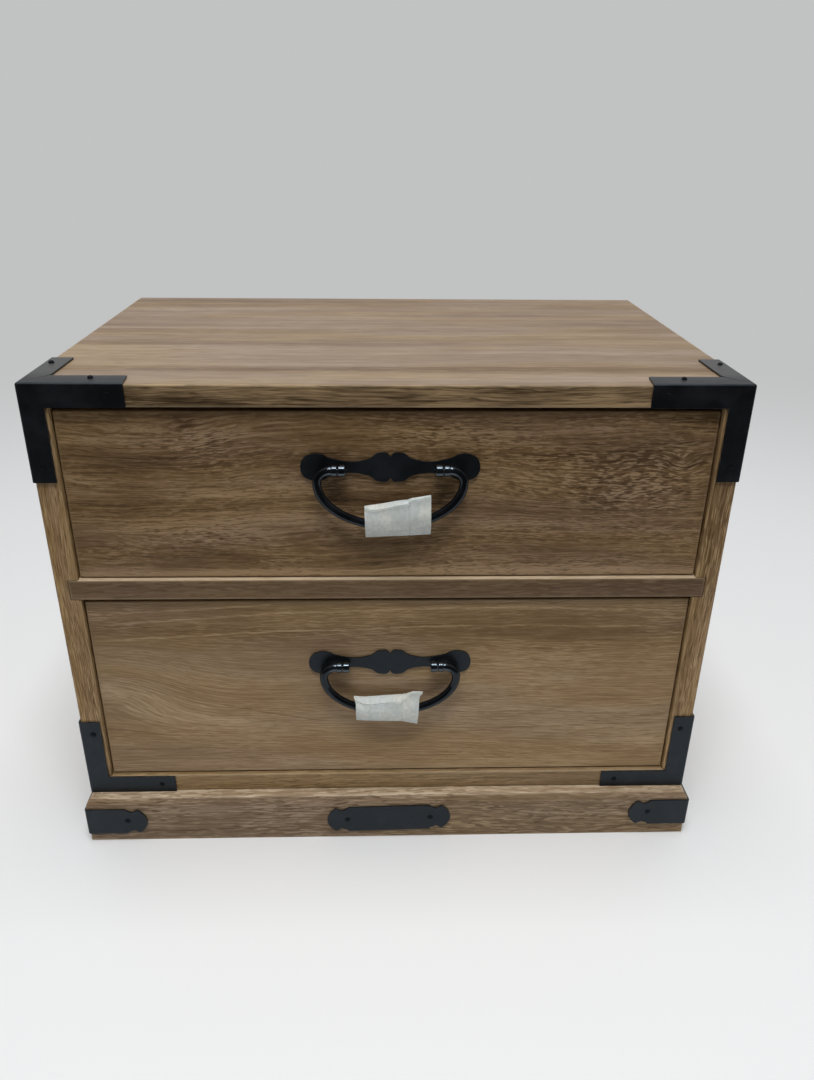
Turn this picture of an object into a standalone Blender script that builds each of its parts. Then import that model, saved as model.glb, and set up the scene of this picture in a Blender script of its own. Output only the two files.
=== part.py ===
"""Tabletop drawer chest: a small wooden chest of two drawers on a moulded plinth.

The case is solid boards in housings and rabbets, dressed at the front with black sheet-iron corners.
Each drawer is a box with a bail handle that hangs from two posts on a shaped backplate. A white foam
sleeve is still wrapped round the grip of each bail.

Units are metres. +X is to the right, +Y to the back and +Z up. Inside the script Y is 0 at the front
face of the case and Z is 0 at the floor; the empty "chest" then centres the depth on the origin.
"""

import math

import bmesh
import bpy
from mathutils import Matrix, Vector
from mathutils.geometry import interpolate_bezier

MM = 0.001

# Case
CASE_WIDTH = 348 * MM
CASE_DEPTH = 231 * MM
CASE_HEIGHT = 243.5 * MM
SIDE_THICKNESS = 12.2 * MM
TOP_THICKNESS = 11 * MM
BOTTOM_THICKNESS = 11.2 * MM
BACK_THICKNESS = 4 * MM
RAIL_THICKNESS = 11.5 * MM
RAIL_DEPTH = 42 * MM
RUNNER_WIDTH = 16 * MM
LOWER_BAY_HEIGHT = 117.2 * MM
HOUSING_DEPTH = 5.5 * MM
BACK_RABBET = 6 * MM
TONGUE_THICKNESS = 6 * MM
TONGUE_HEIGHT = 5 * MM
TONGUE_SETBACK = 18 * MM
JOINT_GAP = 0.2 * MM
ARRIS = 0.7 * MM

# Plinth
PLINTH_HEIGHT = 29.9 * MM
PLINTH_THICKNESS = 15 * MM
PLINTH_FRONT_OVERHANG = 8 * MM
PLINTH_SIDE_OVERHANG = 2.5 * MM
PLINTH_EDGE_RADIUS = 4.5 * MM

# Sheet-iron corners and plates
IRON_THICKNESS = 1 * MM
IRON_LEG = 50 * MM
IRON_FLANGE_WIDTH = 14.2 * MM
IRON_STILE_REVEAL = 1.4 * MM
IRON_TOP_REVEAL = 0.1 * MM
IRON_FOOT_REVEAL = 0.1 * MM
IRON_SEAT_GAP = 0.1 * MM
IRON_FOLD_RADIUS = 0.5 * MM
PLATE_HALF_HEIGHT = 8.9 * MM
PLATE_END_HALF_HEIGHT = 8.1 * MM
PLATE_WAIST_HALF_HEIGHT = 6.5 * MM
PLATE_SHOULDER = 12.5 * MM
PLATE_WAIST = 8 * MM
PLATE_BULB = 4.5 * MM
PLATE_RISE = 2.3 * MM
CORNER_PLATE_LEG = 34.5 * MM
CENTRE_PLATE_LENGTH = 72.5 * MM

# Drawers
DRAWER_BACK_GAP = 1.5 * MM
DRAWER_FRONT_THICKNESS = 13 * MM
DRAWER_SIDE_THICKNESS = 9 * MM
DRAWER_BOTTOM_THICKNESS = 3 * MM
DRAWER_RECESS = 2.5 * MM
DRAWER_SIDE_GAP = 0.6 * MM
DRAWER_TOP_GAP = 2.4 * MM
DRAWER_FOOT_GAP = 0.6 * MM
RUNNING_GAP = 0.3 * MM
DRAWER_LIP = 6 * MM
DRAWER_SIDE_INSET = 0.5 * MM
DRAWER_SIDE_DROP = 4 * MM
DRAWER_BOTTOM_RISE = 6 * MM
GROOVE_DEPTH = 4 * MM

# Bail handles
UPPER_HANDLE_RISE = 16.45 * MM
LOWER_HANDLE_RISE = 18.5 * MM
BACKPLATE_LENGTH = 89 * MM
BACKPLATE_THICKNESS = 1 * MM
BACKPLATE_LOBE_HALF_HEIGHT = 7.1 * MM
BACKPLATE_LOBE_LENGTH = 7.1 * MM
BACKPLATE_SHELL_LENGTH = 14.5 * MM
BACKPLATE_NECK_RIM = 0.6 * MM
BACKPLATE_NECK = 21 * MM
BACKPLATE_SHOULDER = 11 * MM
BACKPLATE_CREST = 4.6 * MM
BACKPLATE_NOTCH_DEPTH = 1.7 * MM
POST_SPACING = 48 * MM
POST_STUD_RADIUS = 2 * MM
POST_HEAD_RADIUS = 3 * MM
POST_HEAD_LENGTH = 3.8 * MM
POST_NECK_STEP = 0.2 * MM
POST_FLANGE_STEP = 1.2 * MM
POST_FLANGE_THICKNESS = 0.8 * MM
POST_STUD_TAIL = 1.2 * MM
POST_HOLE_GAP = 0.3 * MM
NUT_ACROSS_FLATS = 7 * MM
NUT_THICKNESS = 3.2 * MM
BAIL_RADIUS = 2.3 * MM
BAIL_PIN_RADIUS = 1.1 * MM
BAIL_PIN_LENGTH = 2.8 * MM
BAIL_PIN_GAP = 0.1 * MM
BAIL_END_GAP = 0.3 * MM
BAIL_PLATE_GAP = 1.6 * MM
BAIL_COLLAR_RADIUS = 2.9 * MM
BAIL_COLLAR_LENGTH = 3.2 * MM
BAIL_COLLAR_ROUND = 0.35 * MM
BAIL_WIDTH = 72.6 * MM
BAIL_ELBOW_DROP = 6.5 * MM
BAIL_DROP = 29.5 * MM

# Foam sleeves on the bails
SLEEVE_LENGTH = 34.5 * MM
SLEEVE_HEIGHT = 18.5 * MM
SLEEVE_WALL = 0.9 * MM
SLEEVE_GAP = 0.3 * MM
UPPER_SLEEVE_SHIFT = 3.5 * MM
UPPER_SLEEVE_LIFT = 3 * MM
UPPER_SLEEVE_TILT = math.radians(6)
LOWER_SLEEVE_SHIFT = -1.2 * MM
LOWER_SLEEVE_LIFT = 1.6 * MM
LOWER_SLEEVE_TILT = math.radians(1)

# Facet counts of round pieces
ARC_STEPS = 5
ROUND_SIDES = 16
BAIL_SIDES = 12
ELBOW_STEPS = 7
SWEEP_STEPS = 11
BEZIER_STEPS = 6

# Places that follow from the sizes above
HALF_WIDTH = CASE_WIDTH / 2
HALF_OPENING = HALF_WIDTH - SIDE_THICKNESS
CASE_FOOT = PLINTH_HEIGHT
CASE_TOP = CASE_FOOT + CASE_HEIGHT
TOP_UNDERSIDE = CASE_TOP - TOP_THICKNESS
LOWER_BAY_FLOOR = CASE_FOOT + BOTTOM_THICKNESS
RAIL_FOOT = LOWER_BAY_FLOOR + LOWER_BAY_HEIGHT
UPPER_BAY_FLOOR = RAIL_FOOT + RAIL_THICKNESS
UPPER_BAY_HEIGHT = TOP_UNDERSIDE - UPPER_BAY_FLOOR
INNER_DEPTH = CASE_DEPTH - BACK_THICKNESS
DRAWER_LENGTH = INNER_DEPTH - DRAWER_RECESS - DRAWER_BACK_GAP
IRON_LIFT = IRON_SEAT_GAP + IRON_THICKNESS
PLATE_CENTRE = (PLINTH_HEIGHT - PLINTH_EDGE_RADIUS) / 2 + PLATE_RISE
HANDLE_FACE = DRAWER_RECESS - IRON_SEAT_GAP - BACKPLATE_THICKNESS
POST_HOLE_RADIUS = POST_STUD_RADIUS + POST_HOLE_GAP
POST_STANDOFF = BAIL_COLLAR_RADIUS + BAIL_PLATE_GAP
PIVOT_DEPTH = HANDLE_FACE - POST_STANDOFF
SLEEVE_THICKNESS = 2 * (BAIL_RADIUS + SLEEVE_GAP + SLEEVE_WALL)
FRONT_REACH = max(PLINTH_FRONT_OVERHANG + IRON_LIFT,
                  SLEEVE_THICKNESS / 2 - PIVOT_DEPTH,
                  POST_HEAD_RADIUS - PIVOT_DEPTH)
DEPTH_CENTRE = (CASE_DEPTH - FRONT_REACH) / 2
CUT_MARGIN = 20 * MM


def clear_scene():
    for old in list(bpy.data.objects):
        bpy.data.objects.remove(old)


def finish(name, colour, roughness, metallic=0.0):
    """A plain finish: a Principled BSDF with one colour."""
    made = bpy.data.materials.new(name)
    made.use_nodes = True
    shader = made.node_tree.nodes["Principled BSDF"]
    shader.inputs["Base Color"].default_value = (*colour, 1.0)
    shader.inputs["Roughness"].default_value = roughness
    shader.inputs["Metallic"].default_value = metallic
    made.diffuse_color = (*colour, 1.0)
    return made


# Objects, boards and cuts

def place_in_chest(thing):
    """The chest-frame position of an empty or an object, whose parents are only moved, never turned."""
    place = Vector((0, 0, 0))
    while thing is not None and thing.name != "chest":
        place += thing.location
        thing = thing.parent
    return place


def empty(name, position, parent=None):
    made = bpy.data.objects.new(name, None)
    bpy.context.scene.collection.objects.link(made)
    made.parent = parent
    made.location = Vector(position) - (place_in_chest(parent) if parent else Vector((0, 0, 0)))
    return made


def piece(name, mesh, look, parent, position=(0, 0, 0)):
    """A named object with its finish, at a chest-frame position, carried by a parent."""
    mesh.name = name
    mesh.materials.append(look)
    made = bpy.data.objects.new(name, mesh)
    bpy.context.scene.collection.objects.link(made)
    made.parent = parent
    made.location = Vector(position) - place_in_chest(parent)
    return made


def mesh_from(bm):
    """A mesh from a bmesh whose faces are turned to point outwards."""
    bmesh.ops.recalc_face_normals(bm, faces=bm.faces)
    mesh = bpy.data.meshes.new("shape")
    bm.to_mesh(mesh)
    bm.free()
    return mesh


def box_mesh(size):
    bm = bmesh.new()
    bmesh.ops.create_cube(bm, size=1)
    bmesh.ops.scale(bm, vec=Vector(size), verts=bm.verts)
    return mesh_from(bm)


def board(name, low, high, look, parent, arris=ARRIS):
    """A board between two corners, with its arrises eased."""
    low, high = Vector(low), Vector(high)
    made = piece(name, box_mesh(high - low), look, parent, (low + high) / 2)
    ease = made.modifiers.new("eased_arrises", "BEVEL")
    ease.width = arris
    ease.segments = 2
    return made


def combine(target, tool, operation, label):
    """Cuts a hidden tool object from a piece, or joins it on."""
    tool.hide_render = True
    tool.display_type = "WIRE"
    step = target.modifiers.new(label, "BOOLEAN")
    step.operation = operation
    step.object = tool
    return target


def tool_box(target, low, high, operation, label):
    low, high = Vector(low), Vector(high)
    tool = piece(f"{target.name}-{label}", box_mesh(high - low), target.data.materials[0],
                 target.parent, (low + high) / 2)
    return combine(target, tool, operation, label)


def cut_box(target, low, high, label):
    return tool_box(target, low, high, "DIFFERENCE", label)


def cylinder_mesh(radius, length, axis, sides=ROUND_SIDES):
    """A cylinder about its own centre, along X, Y or Z."""
    bm = bmesh.new()
    bmesh.ops.create_cone(bm, cap_ends=True, segments=sides, radius1=radius, radius2=radius, depth=length)
    turn = {"X": Matrix.Rotation(math.pi / 2, 3, "Y"),
            "Y": Matrix.Rotation(math.pi / 2, 3, "X"),
            "Z": Matrix.Identity(3)}[axis]
    bmesh.ops.rotate(bm, matrix=turn, verts=bm.verts)
    return mesh_from(bm)


def cut_round(target, centre, radius, length, axis, label):
    tool = piece(f"{target.name}-{label}", cylinder_mesh(radius, length, axis),
                 target.data.materials[0], target.parent, centre)
    return combine(target, tool, "DIFFERENCE", label)


def smooth(made):
    made.data.shade_smooth()
    made.data.set_sharp_from_angle(angle=math.radians(35))
    return made


# Case

def side_panel(name, side, look, parent):
    """A side board with a tongue on top, a housing for the rail, and rabbets for the bottom and the back."""
    outer, inner = side * HALF_WIDTH, side * HALF_OPENING
    housed = side * (HALF_OPENING + HOUSING_DEPTH)
    rabbeted = side * (HALF_OPENING + BACK_RABBET)
    inside = inner - side * CUT_MARGIN
    panel = board(name, (min(outer, inner), 0, CASE_FOOT + JOINT_GAP),
                  (max(outer, inner), CASE_DEPTH, TOP_UNDERSIDE - JOINT_GAP), look, parent)
    cut_box(panel, (min(housed, inside), -CUT_MARGIN, RAIL_FOOT - JOINT_GAP),
            (max(housed, inside), CASE_DEPTH + CUT_MARGIN, UPPER_BAY_FLOOR + JOINT_GAP), "rail_housing")
    cut_box(panel, (min(housed, inside), -CUT_MARGIN, CASE_FOOT - CUT_MARGIN),
            (max(housed, inside), CASE_DEPTH + CUT_MARGIN, LOWER_BAY_FLOOR + JOINT_GAP), "bottom_rabbet")
    cut_box(panel, (min(rabbeted, inside), INNER_DEPTH - JOINT_GAP, CASE_FOOT - CUT_MARGIN),
            (max(rabbeted, inside), CASE_DEPTH + CUT_MARGIN, CASE_TOP), "back_rabbet")
    middle = (outer + inner) / 2
    tool_box(panel, (middle - TONGUE_THICKNESS / 2, TONGUE_SETBACK, TOP_UNDERSIDE - TONGUE_HEIGHT),
             (middle + TONGUE_THICKNESS / 2, INNER_DEPTH - TONGUE_SETBACK, TOP_UNDERSIDE + TONGUE_HEIGHT),
             "UNION", "tongue")
    return panel


def top_panel(look, parent):
    """The top board, full width over the sides, grooved for their tongues and rabbeted for the back."""
    panel = board("top_panel", (-HALF_WIDTH, 0, TOP_UNDERSIDE), (HALF_WIDTH, CASE_DEPTH, CASE_TOP),
                  look, parent)
    for side, label in ((-1, "left_groove"), (1, "right_groove")):
        middle = side * (HALF_WIDTH + HALF_OPENING) / 2
        reach = TONGUE_THICKNESS / 2 + JOINT_GAP
        cut_box(panel, (middle - reach, TONGUE_SETBACK - JOINT_GAP, TOP_UNDERSIDE - CUT_MARGIN),
                (middle + reach, INNER_DEPTH - TONGUE_SETBACK + JOINT_GAP,
                 TOP_UNDERSIDE + TONGUE_HEIGHT + JOINT_GAP), label)
    cut_box(panel, (-HALF_OPENING - BACK_RABBET, INNER_DEPTH - JOINT_GAP, TOP_UNDERSIDE - CUT_MARGIN),
            (HALF_OPENING + BACK_RABBET, CASE_DEPTH + CUT_MARGIN, TOP_UNDERSIDE + BACK_RABBET), "back_rabbet")
    return panel


def case(wood, panel_wood, parent):
    """The boards of the case: top, sides, bottom, back, and the rail and runners between the drawers."""
    top_panel(wood, parent)
    side_panel("left_side_panel", -1, wood, parent)
    side_panel("right_side_panel", 1, wood, parent)
    housed = HALF_OPENING + HOUSING_DEPTH - JOINT_GAP
    board("bottom_panel", (-housed, 0, CASE_FOOT + JOINT_GAP),
          (housed, INNER_DEPTH - JOINT_GAP, LOWER_BAY_FLOOR), wood, parent)
    rabbeted = HALF_OPENING + BACK_RABBET - JOINT_GAP
    board("back_panel", (-rabbeted, INNER_DEPTH, CASE_FOOT + JOINT_GAP),
          (rabbeted, CASE_DEPTH, TOP_UNDERSIDE + BACK_RABBET - JOINT_GAP), panel_wood, parent)
    board("divider_rail", (-housed, 0, RAIL_FOOT), (housed, RAIL_DEPTH, UPPER_BAY_FLOOR), wood, parent)
    for side, name in ((-1, "left_drawer_runner"), (1, "right_drawer_runner")):
        ends = sorted((side * housed, side * (HALF_OPENING - RUNNER_WIDTH)))
        board(name, (ends[0], RAIL_DEPTH + JOINT_GAP, RAIL_FOOT),
              (ends[1], INNER_DEPTH - JOINT_GAP, UPPER_BAY_FLOOR), wood, parent)


# Plinth

def plinth_profile():
    """The plinth board's section as (depth from its outer face, height), with a rounded upper outer edge."""
    height = PLINTH_HEIGHT
    radius = PLINTH_EDGE_RADIUS
    section = [(0.0, 0.0)]
    for step in range(ARC_STEPS + 1):
        angle = math.pi / 2 * step / ARC_STEPS
        section.append((radius - radius * math.cos(angle), height - radius + radius * math.sin(angle)))
    section += [(PLINTH_THICKNESS, height), (PLINTH_THICKNESS, 0.0)]
    return section


def moulded_board(name, corner, along, across, length, mitred_ends, look, parent):
    """The plinth section run along a side from a corner at the floor, with its ends square or mitred."""
    corner, along, across = Vector(corner), Vector(along), Vector(across)
    bm = bmesh.new()
    rings = []
    for at_end, mitred in zip((False, True), mitred_ends):
        ring = []
        for depth, height in plinth_profile():
            back = depth if mitred else 0.0
            run = length - back if at_end else back
            ring.append(bm.verts.new(corner + along * run + across * depth + Vector((0, 0, height))))
        rings.append(ring)
    count = len(rings[0])
    for i in range(count):
        j = (i + 1) % count
        bm.faces.new((rings[0][i], rings[0][j], rings[1][j], rings[1][i]))
    for ring in rings:
        bm.faces.new(ring)
    return piece(name, mesh_from(bm), look, parent)


def plinth(wood, parent):
    """The plinth frame: a front and two sides mitred at the front corners, and a back between the sides."""
    half = HALF_WIDTH + PLINTH_SIDE_OVERHANG
    front = -PLINTH_FRONT_OVERHANG
    moulded_board("plinth_front", (-half, front, 0), (1, 0, 0), (0, 1, 0), 2 * half, (True, True),
                  wood, parent)
    run = CASE_DEPTH - front - JOINT_GAP
    for side, name in ((-1, "plinth_left"), (1, "plinth_right")):
        moulded_board(name, (side * half, front + JOINT_GAP, 0), (0, 1, 0), (-side, 0, 0), run, (True, False),
                      wood, parent)
    inner = half - PLINTH_THICKNESS - JOINT_GAP
    board("plinth_back", (-inner, CASE_DEPTH - PLINTH_THICKNESS, 0), (inner, CASE_DEPTH, PLINTH_HEIGHT),
          wood, parent)


# Sheet-iron corners and plates

def corner_block(side, corner, up, low, high):
    """Two corners of a box given by distances (across, back, along Z) from the outer corner of an iron."""
    first = corner + Vector((-side * low[0], low[1], up * low[2]))
    second = corner + Vector((-side * high[0], high[1], up * high[2]))
    return Vector(map(min, first, second)), Vector(map(max, first, second))


def corner_iron(name, side, corner, up, widths, capped, look, parent):
    """A sheet-iron corner with legs along the case's edges: on the front and the side, and on top if capped.

    The corner is its outer point. The iron runs towards the middle, back, and along Z in the sense of up,
    and its legs are as wide as the three widths along those directions.
    """
    corner = Vector(corner)
    across, back, along = widths
    sheet = IRON_THICKNESS
    out = -CUT_MARGIN
    far = IRON_LEG + CUT_MARGIN

    def block(low, high):
        return corner_block(side, corner, up, low, high)

    iron = board(name, *block((0, 0, 0), (IRON_LEG, IRON_LEG, IRON_LEG)), look, parent, IRON_FOLD_RADIUS)
    cut_box(iron, *block((sheet, sheet, sheet if capped else out), (far, far, far)), "hollow")
    cut_box(iron, *block((across, out, along), (far, 2 * sheet, far)), "front_window")
    cut_box(iron, *block((out, back, along), (2 * sheet, far, far)), "side_window")
    if capped:
        cut_box(iron, *block((across, back, out), (far, far, 2 * sheet)), "top_window")
    return iron


def smooth_outline(knots):
    """Points along a smooth curve through (across, up) knots; the ends of the run are corners."""
    points = [Vector((across, up, 0)) for across, up in knots]
    handles = []
    for i, point in enumerate(points):
        if i in (0, len(points) - 1):
            handles.append(Vector((0, 0, 0)))
            continue
        way = (points[i + 1] - points[i - 1]).normalized()
        handles.append(way)
    run = [points[0]]
    for i in range(len(points) - 1):
        pull = (points[i + 1] - points[i]).length / 3
        curve = interpolate_bezier(points[i], points[i] + handles[i] * pull,
                                   points[i + 1] - handles[i + 1] * pull, points[i + 1], BEZIER_STEPS + 1)
        run += curve[1:]
    return [(point.x, point.y) for point in run]


def plate_end(length):
    """Half of a plate's outline: from its middle over the shoulder, waist and bulb and back underneath."""
    upper = [(length - PLATE_SHOULDER, PLATE_HALF_HEIGHT), (length - PLATE_WAIST, PLATE_WAIST_HALF_HEIGHT),
             (length - PLATE_BULB, PLATE_END_HALF_HEIGHT)]
    knots = upper + [(length, 0.0)] + [(across, -up) for across, up in reversed(upper)]
    return [(0.0, PLATE_HALF_HEIGHT)] + smooth_outline(knots) + [(0.0, -PLATE_HALF_HEIGHT)]


def sheet_mesh(outline, thickness):
    """A flat sheet with the given outline in X and Z, from Y 0 towards the front by its thickness."""
    bm = bmesh.new()
    face = bm.faces.new([bm.verts.new((across, 0, up)) for across, up in outline])
    grown = bmesh.ops.extrude_face_region(bm, geom=[face])
    moved = [item for item in grown["geom"] if isinstance(item, bmesh.types.BMVert)]
    bmesh.ops.translate(bm, verts=moved, vec=(0, -thickness, 0))
    return mesh_from(bm)


def centre_plate(look, parent):
    right = plate_end(CENTRE_PLATE_LENGTH / 2)[1:-1]
    left = [(-across, -up) for across, up in right]
    seat = -PLINTH_FRONT_OVERHANG - IRON_SEAT_GAP
    return piece("plinth_centre_plate", sheet_mesh(right + left, IRON_THICKNESS), look, parent,
                 (0, seat, PLATE_CENTRE))


def plinth_corner_iron(name, side, look, parent):
    """A shaped plate bent round a front corner of the plinth, with a leg on the front and on the side."""
    bm = bmesh.new()
    outline = plate_end(CORNER_PLATE_LEG)
    layers = {}
    for leg in ("front", "side"):
        for layer, lift in (("inner", 0.0), ("outer", IRON_THICKNESS)):
            ring = []
            for i, (run, up) in enumerate(outline):
                folded = i in (0, len(outline) - 1)
                if folded and leg == "side":
                    ring.append(layers["front", layer][i])
                    continue
                along = -lift if folded else run
                spot = (-side * along, -lift, up) if leg == "front" else (side * lift, along, up)
                ring.append(bm.verts.new(spot))
            layers[leg, layer] = ring
    for leg in ("front", "side"):
        inner, outer = layers[leg, "inner"], layers[leg, "outer"]
        bm.faces.new(inner)
        bm.faces.new(outer)
        for i in range(len(inner) - 1):
            bm.faces.new((inner[i], inner[i + 1], outer[i + 1], outer[i]))
    corner = (side * (HALF_WIDTH + PLINTH_SIDE_OVERHANG + IRON_SEAT_GAP),
              -PLINTH_FRONT_OVERHANG - IRON_SEAT_GAP, PLATE_CENTRE)
    return piece(name, mesh_from(bm), look, parent, corner)


def ironwork(iron, parent):
    """The corners of the case and the plates of the plinth."""
    out = HALF_WIDTH + IRON_LIFT
    stile = SIDE_THICKNESS + IRON_LIFT - IRON_STILE_REVEAL
    upper = (stile, IRON_FLANGE_WIDTH, TOP_THICKNESS + IRON_LIFT - IRON_TOP_REVEAL)
    lower = (stile, IRON_FLANGE_WIDTH, BOTTOM_THICKNESS - JOINT_GAP - IRON_FOOT_REVEAL)
    for side, hand in ((-1, "left"), (1, "right")):
        corner_iron(f"upper_{hand}_corner_iron", side, (side * out, -IRON_LIFT, CASE_TOP + IRON_LIFT),
                    -1, upper, True, iron, parent)
        corner_iron(f"lower_{hand}_corner_iron", side, (side * out, -IRON_LIFT, CASE_FOOT + JOINT_GAP),
                    1, lower, False, iron, parent)
        plinth_corner_iron(f"plinth_{hand}_corner_iron", side, iron, parent)
    centre_plate(iron, parent)


# Drawers

def front_middle(floor, bay_height):
    """The height of the middle of a drawer front in its bay."""
    return floor + (bay_height - DRAWER_TOP_GAP + DRAWER_FOOT_GAP) / 2


def drawer(prefix, floor, bay_height, handle_height, woods, parent):
    """A drawer box for one bay: a rabbeted front, grooved sides, a back and a thin bottom."""
    wood, box_wood = woods
    half = HALF_OPENING - DRAWER_SIDE_GAP
    outer = half - DRAWER_SIDE_INSET
    inner = outer - DRAWER_SIDE_THICKNESS
    face = DRAWER_RECESS
    back_of_front = face + DRAWER_FRONT_THICKNESS
    end = face + DRAWER_LENGTH
    foot = floor + RUNNING_GAP
    top = floor + bay_height - DRAWER_TOP_GAP
    side_top = top - DRAWER_SIDE_DROP
    slide = empty(f"{prefix}_drawer", (0, face, floor), parent)

    front = board(f"{prefix}_drawer_front", (-half, face, floor + DRAWER_FOOT_GAP),
                  (half, back_of_front, top), wood, slide)
    bottom_low = foot + DRAWER_BOTTOM_RISE
    bottom_high = bottom_low + DRAWER_BOTTOM_THICKNESS
    groove = (bottom_low - JOINT_GAP, bottom_high + JOINT_GAP)
    for side, hand in ((-1, "left"), (1, "right")):
        low, high = sorted((side * (inner - JOINT_GAP), side * (half + CUT_MARGIN)))
        cut_box(front, (low, face + DRAWER_LIP, floor - CUT_MARGIN),
                (high, back_of_front + CUT_MARGIN, top + CUT_MARGIN), f"{hand}_rabbet")
        low, high = sorted((side * outer, side * inner))
        wall = board(f"{prefix}_drawer_{hand}_side", (low, face + DRAWER_LIP + JOINT_GAP, foot),
                     (high, end, side_top), box_wood, slide)
        low, high = sorted((side * (inner - CUT_MARGIN), side * (inner + GROOVE_DEPTH)))
        cut_box(wall, (low, 0, groove[0]), (high, end + CUT_MARGIN, groove[1]), "bottom_groove")
    cut_box(front, (-inner - CUT_MARGIN, back_of_front - GROOVE_DEPTH, groove[0]),
            (inner + CUT_MARGIN, back_of_front + CUT_MARGIN, groove[1]), "bottom_groove")
    reach = inner + GROOVE_DEPTH - JOINT_GAP
    sheet = board(f"{prefix}_drawer_bottom", (-reach, face + DRAWER_LIP + JOINT_GAP, bottom_low),
                  (reach, end, bottom_high), box_wood, slide, ARRIS / 2)
    clear_front = back_of_front - GROOVE_DEPTH + JOINT_GAP
    cut_box(sheet, (-reach - CUT_MARGIN, 0, bottom_low - CUT_MARGIN),
            (reach + CUT_MARGIN, clear_front, bottom_high + CUT_MARGIN), "front_edge")
    board(f"{prefix}_drawer_back", (-inner + JOINT_GAP, end - DRAWER_SIDE_THICKNESS, bottom_high + JOINT_GAP),
          (inner - JOINT_GAP, end, side_top), box_wood, slide)
    for side, hand in ((-1, "left"), (1, "right")):
        hole = (side * POST_SPACING / 2, (face + back_of_front) / 2, handle_height)
        cut_round(front, hole, POST_HOLE_RADIUS, DRAWER_FRONT_THICKNESS + CUT_MARGIN, "Y",
                  f"{hand}_post_hole")
    return slide


# Bail handles

def backplate_outline():
    """The backplate's outline: a notched bulge in the middle, two necks, and a round lobe at each end."""
    half = BACKPLATE_LENGTH / 2
    lobe = BACKPLATE_LOBE_HALF_HEIGHT
    neck = POST_HOLE_RADIUS + BACKPLATE_NECK_RIM
    between = (lobe + neck) / 2
    quarter = [(0.0, lobe - BACKPLATE_NOTCH_DEPTH), (BACKPLATE_CREST, lobe), (BACKPLATE_SHOULDER, between),
               (BACKPLATE_NECK, neck), (half - BACKPLATE_SHELL_LENGTH, between),
               (half - BACKPLATE_LOBE_LENGTH, lobe), (half, 0.0)]
    upper = smooth_outline(quarter + [(across, -up) for across, up in reversed(quarter[:-1])])
    return upper[:-1] + [(-across, -up) for across, up in upper[:-1]]


def backplate(name, height, look, parent):
    plate = piece(name, sheet_mesh(backplate_outline(), BACKPLATE_THICKNESS), look, parent,
                  (0, HANDLE_FACE + BACKPLATE_THICKNESS, height))
    for side, hand in ((-1, "left"), (1, "right")):
        cut_round(plate, (side * POST_SPACING / 2, HANDLE_FACE, height), POST_HOLE_RADIUS, CUT_MARGIN, "Y",
                  f"{hand}_post_hole")
    return plate


def turned_mesh(profile, sides=ROUND_SIDES):
    """A turned solid about Y from (radius, y) points that start and end on the axis."""
    bm = bmesh.new()
    ends = [bm.verts.new((0, y, 0)) for radius, y in (profile[0], profile[-1])]
    rings = []
    for radius, y in profile[1:-1]:
        turn = [2 * math.pi * i / sides for i in range(sides)]
        rings.append([bm.verts.new((radius * math.cos(a), y, radius * math.sin(a))) for a in turn])
    for i in range(sides):
        j = (i + 1) % sides
        bm.faces.new((ends[0], rings[0][i], rings[0][j]))
        bm.faces.new((ends[1], rings[-1][j], rings[-1][i]))
        for first, second in zip(rings, rings[1:]):
            bm.faces.new((first[i], second[i], second[j], first[j]))
    return mesh_from(bm)


def post(name, across, height, look, parent):
    """A post: a stud through backplate and drawer front, with a cross head bored for the bail's pin."""
    tail = DRAWER_FRONT_THICKNESS + DRAWER_RECESS + JOINT_GAP + NUT_THICKNESS + POST_STUD_TAIL - PIVOT_DEPTH
    seat = POST_STANDOFF - IRON_SEAT_GAP
    flange = seat - POST_FLANGE_THICKNESS
    neck = POST_HEAD_LENGTH / 2 - POST_NECK_STEP
    rim = POST_STUD_RADIUS + POST_FLANGE_STEP
    profile = [(0, 0), (neck, 0), (neck, flange), (rim, flange), (rim, seat), (POST_STUD_RADIUS, seat),
               (POST_STUD_RADIUS, tail), (0, tail)]
    made = piece(name, turned_mesh(profile), look, parent, (across, PIVOT_DEPTH, height))
    head = piece(f"{name}-head", cylinder_mesh(POST_HEAD_RADIUS, POST_HEAD_LENGTH, "X"), look, parent,
                 (across, PIVOT_DEPTH, height))
    combine(made, head, "UNION", "cross_head")
    cut_round(made, (across, PIVOT_DEPTH, height), BAIL_PIN_RADIUS + BAIL_PIN_GAP, CUT_MARGIN, "X",
              "pin_hole")
    return smooth(made)


def nut(name, across, height, look, parent):
    """A hexagon nut on the post's stud, against the back of the drawer front."""
    middle = DRAWER_RECESS + DRAWER_FRONT_THICKNESS + JOINT_GAP + NUT_THICKNESS / 2
    radius = NUT_ACROSS_FLATS / 2 / math.cos(math.pi / 6)
    made = piece(name, cylinder_mesh(radius, NUT_THICKNESS, "Y", 6), look, parent, (across, middle, height))
    return cut_round(made, (across, middle, height), POST_HOLE_RADIUS, CUT_MARGIN, "Y", "bore")


def ellipse_run(centre, reach, first, last, steps):
    """Points on an ellipse in X and Z between two angles, without the first."""
    run = []
    for step in range(1, steps + 1):
        angle = first + (last - first) * step / steps
        run.append((centre[0] + reach[0] * math.cos(angle), centre[1] + reach[1] * math.sin(angle)))
    return run


def grip_centreline():
    """The bail's lower half ellipse from its left side round to its right side, as (x, z) from the pivot."""
    reach = (BAIL_WIDTH / 2, BAIL_DROP - BAIL_ELBOW_DROP)
    return ellipse_run((0, -BAIL_ELBOW_DROP), reach, math.pi, 2 * math.pi, 2 * SWEEP_STEPS)


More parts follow.
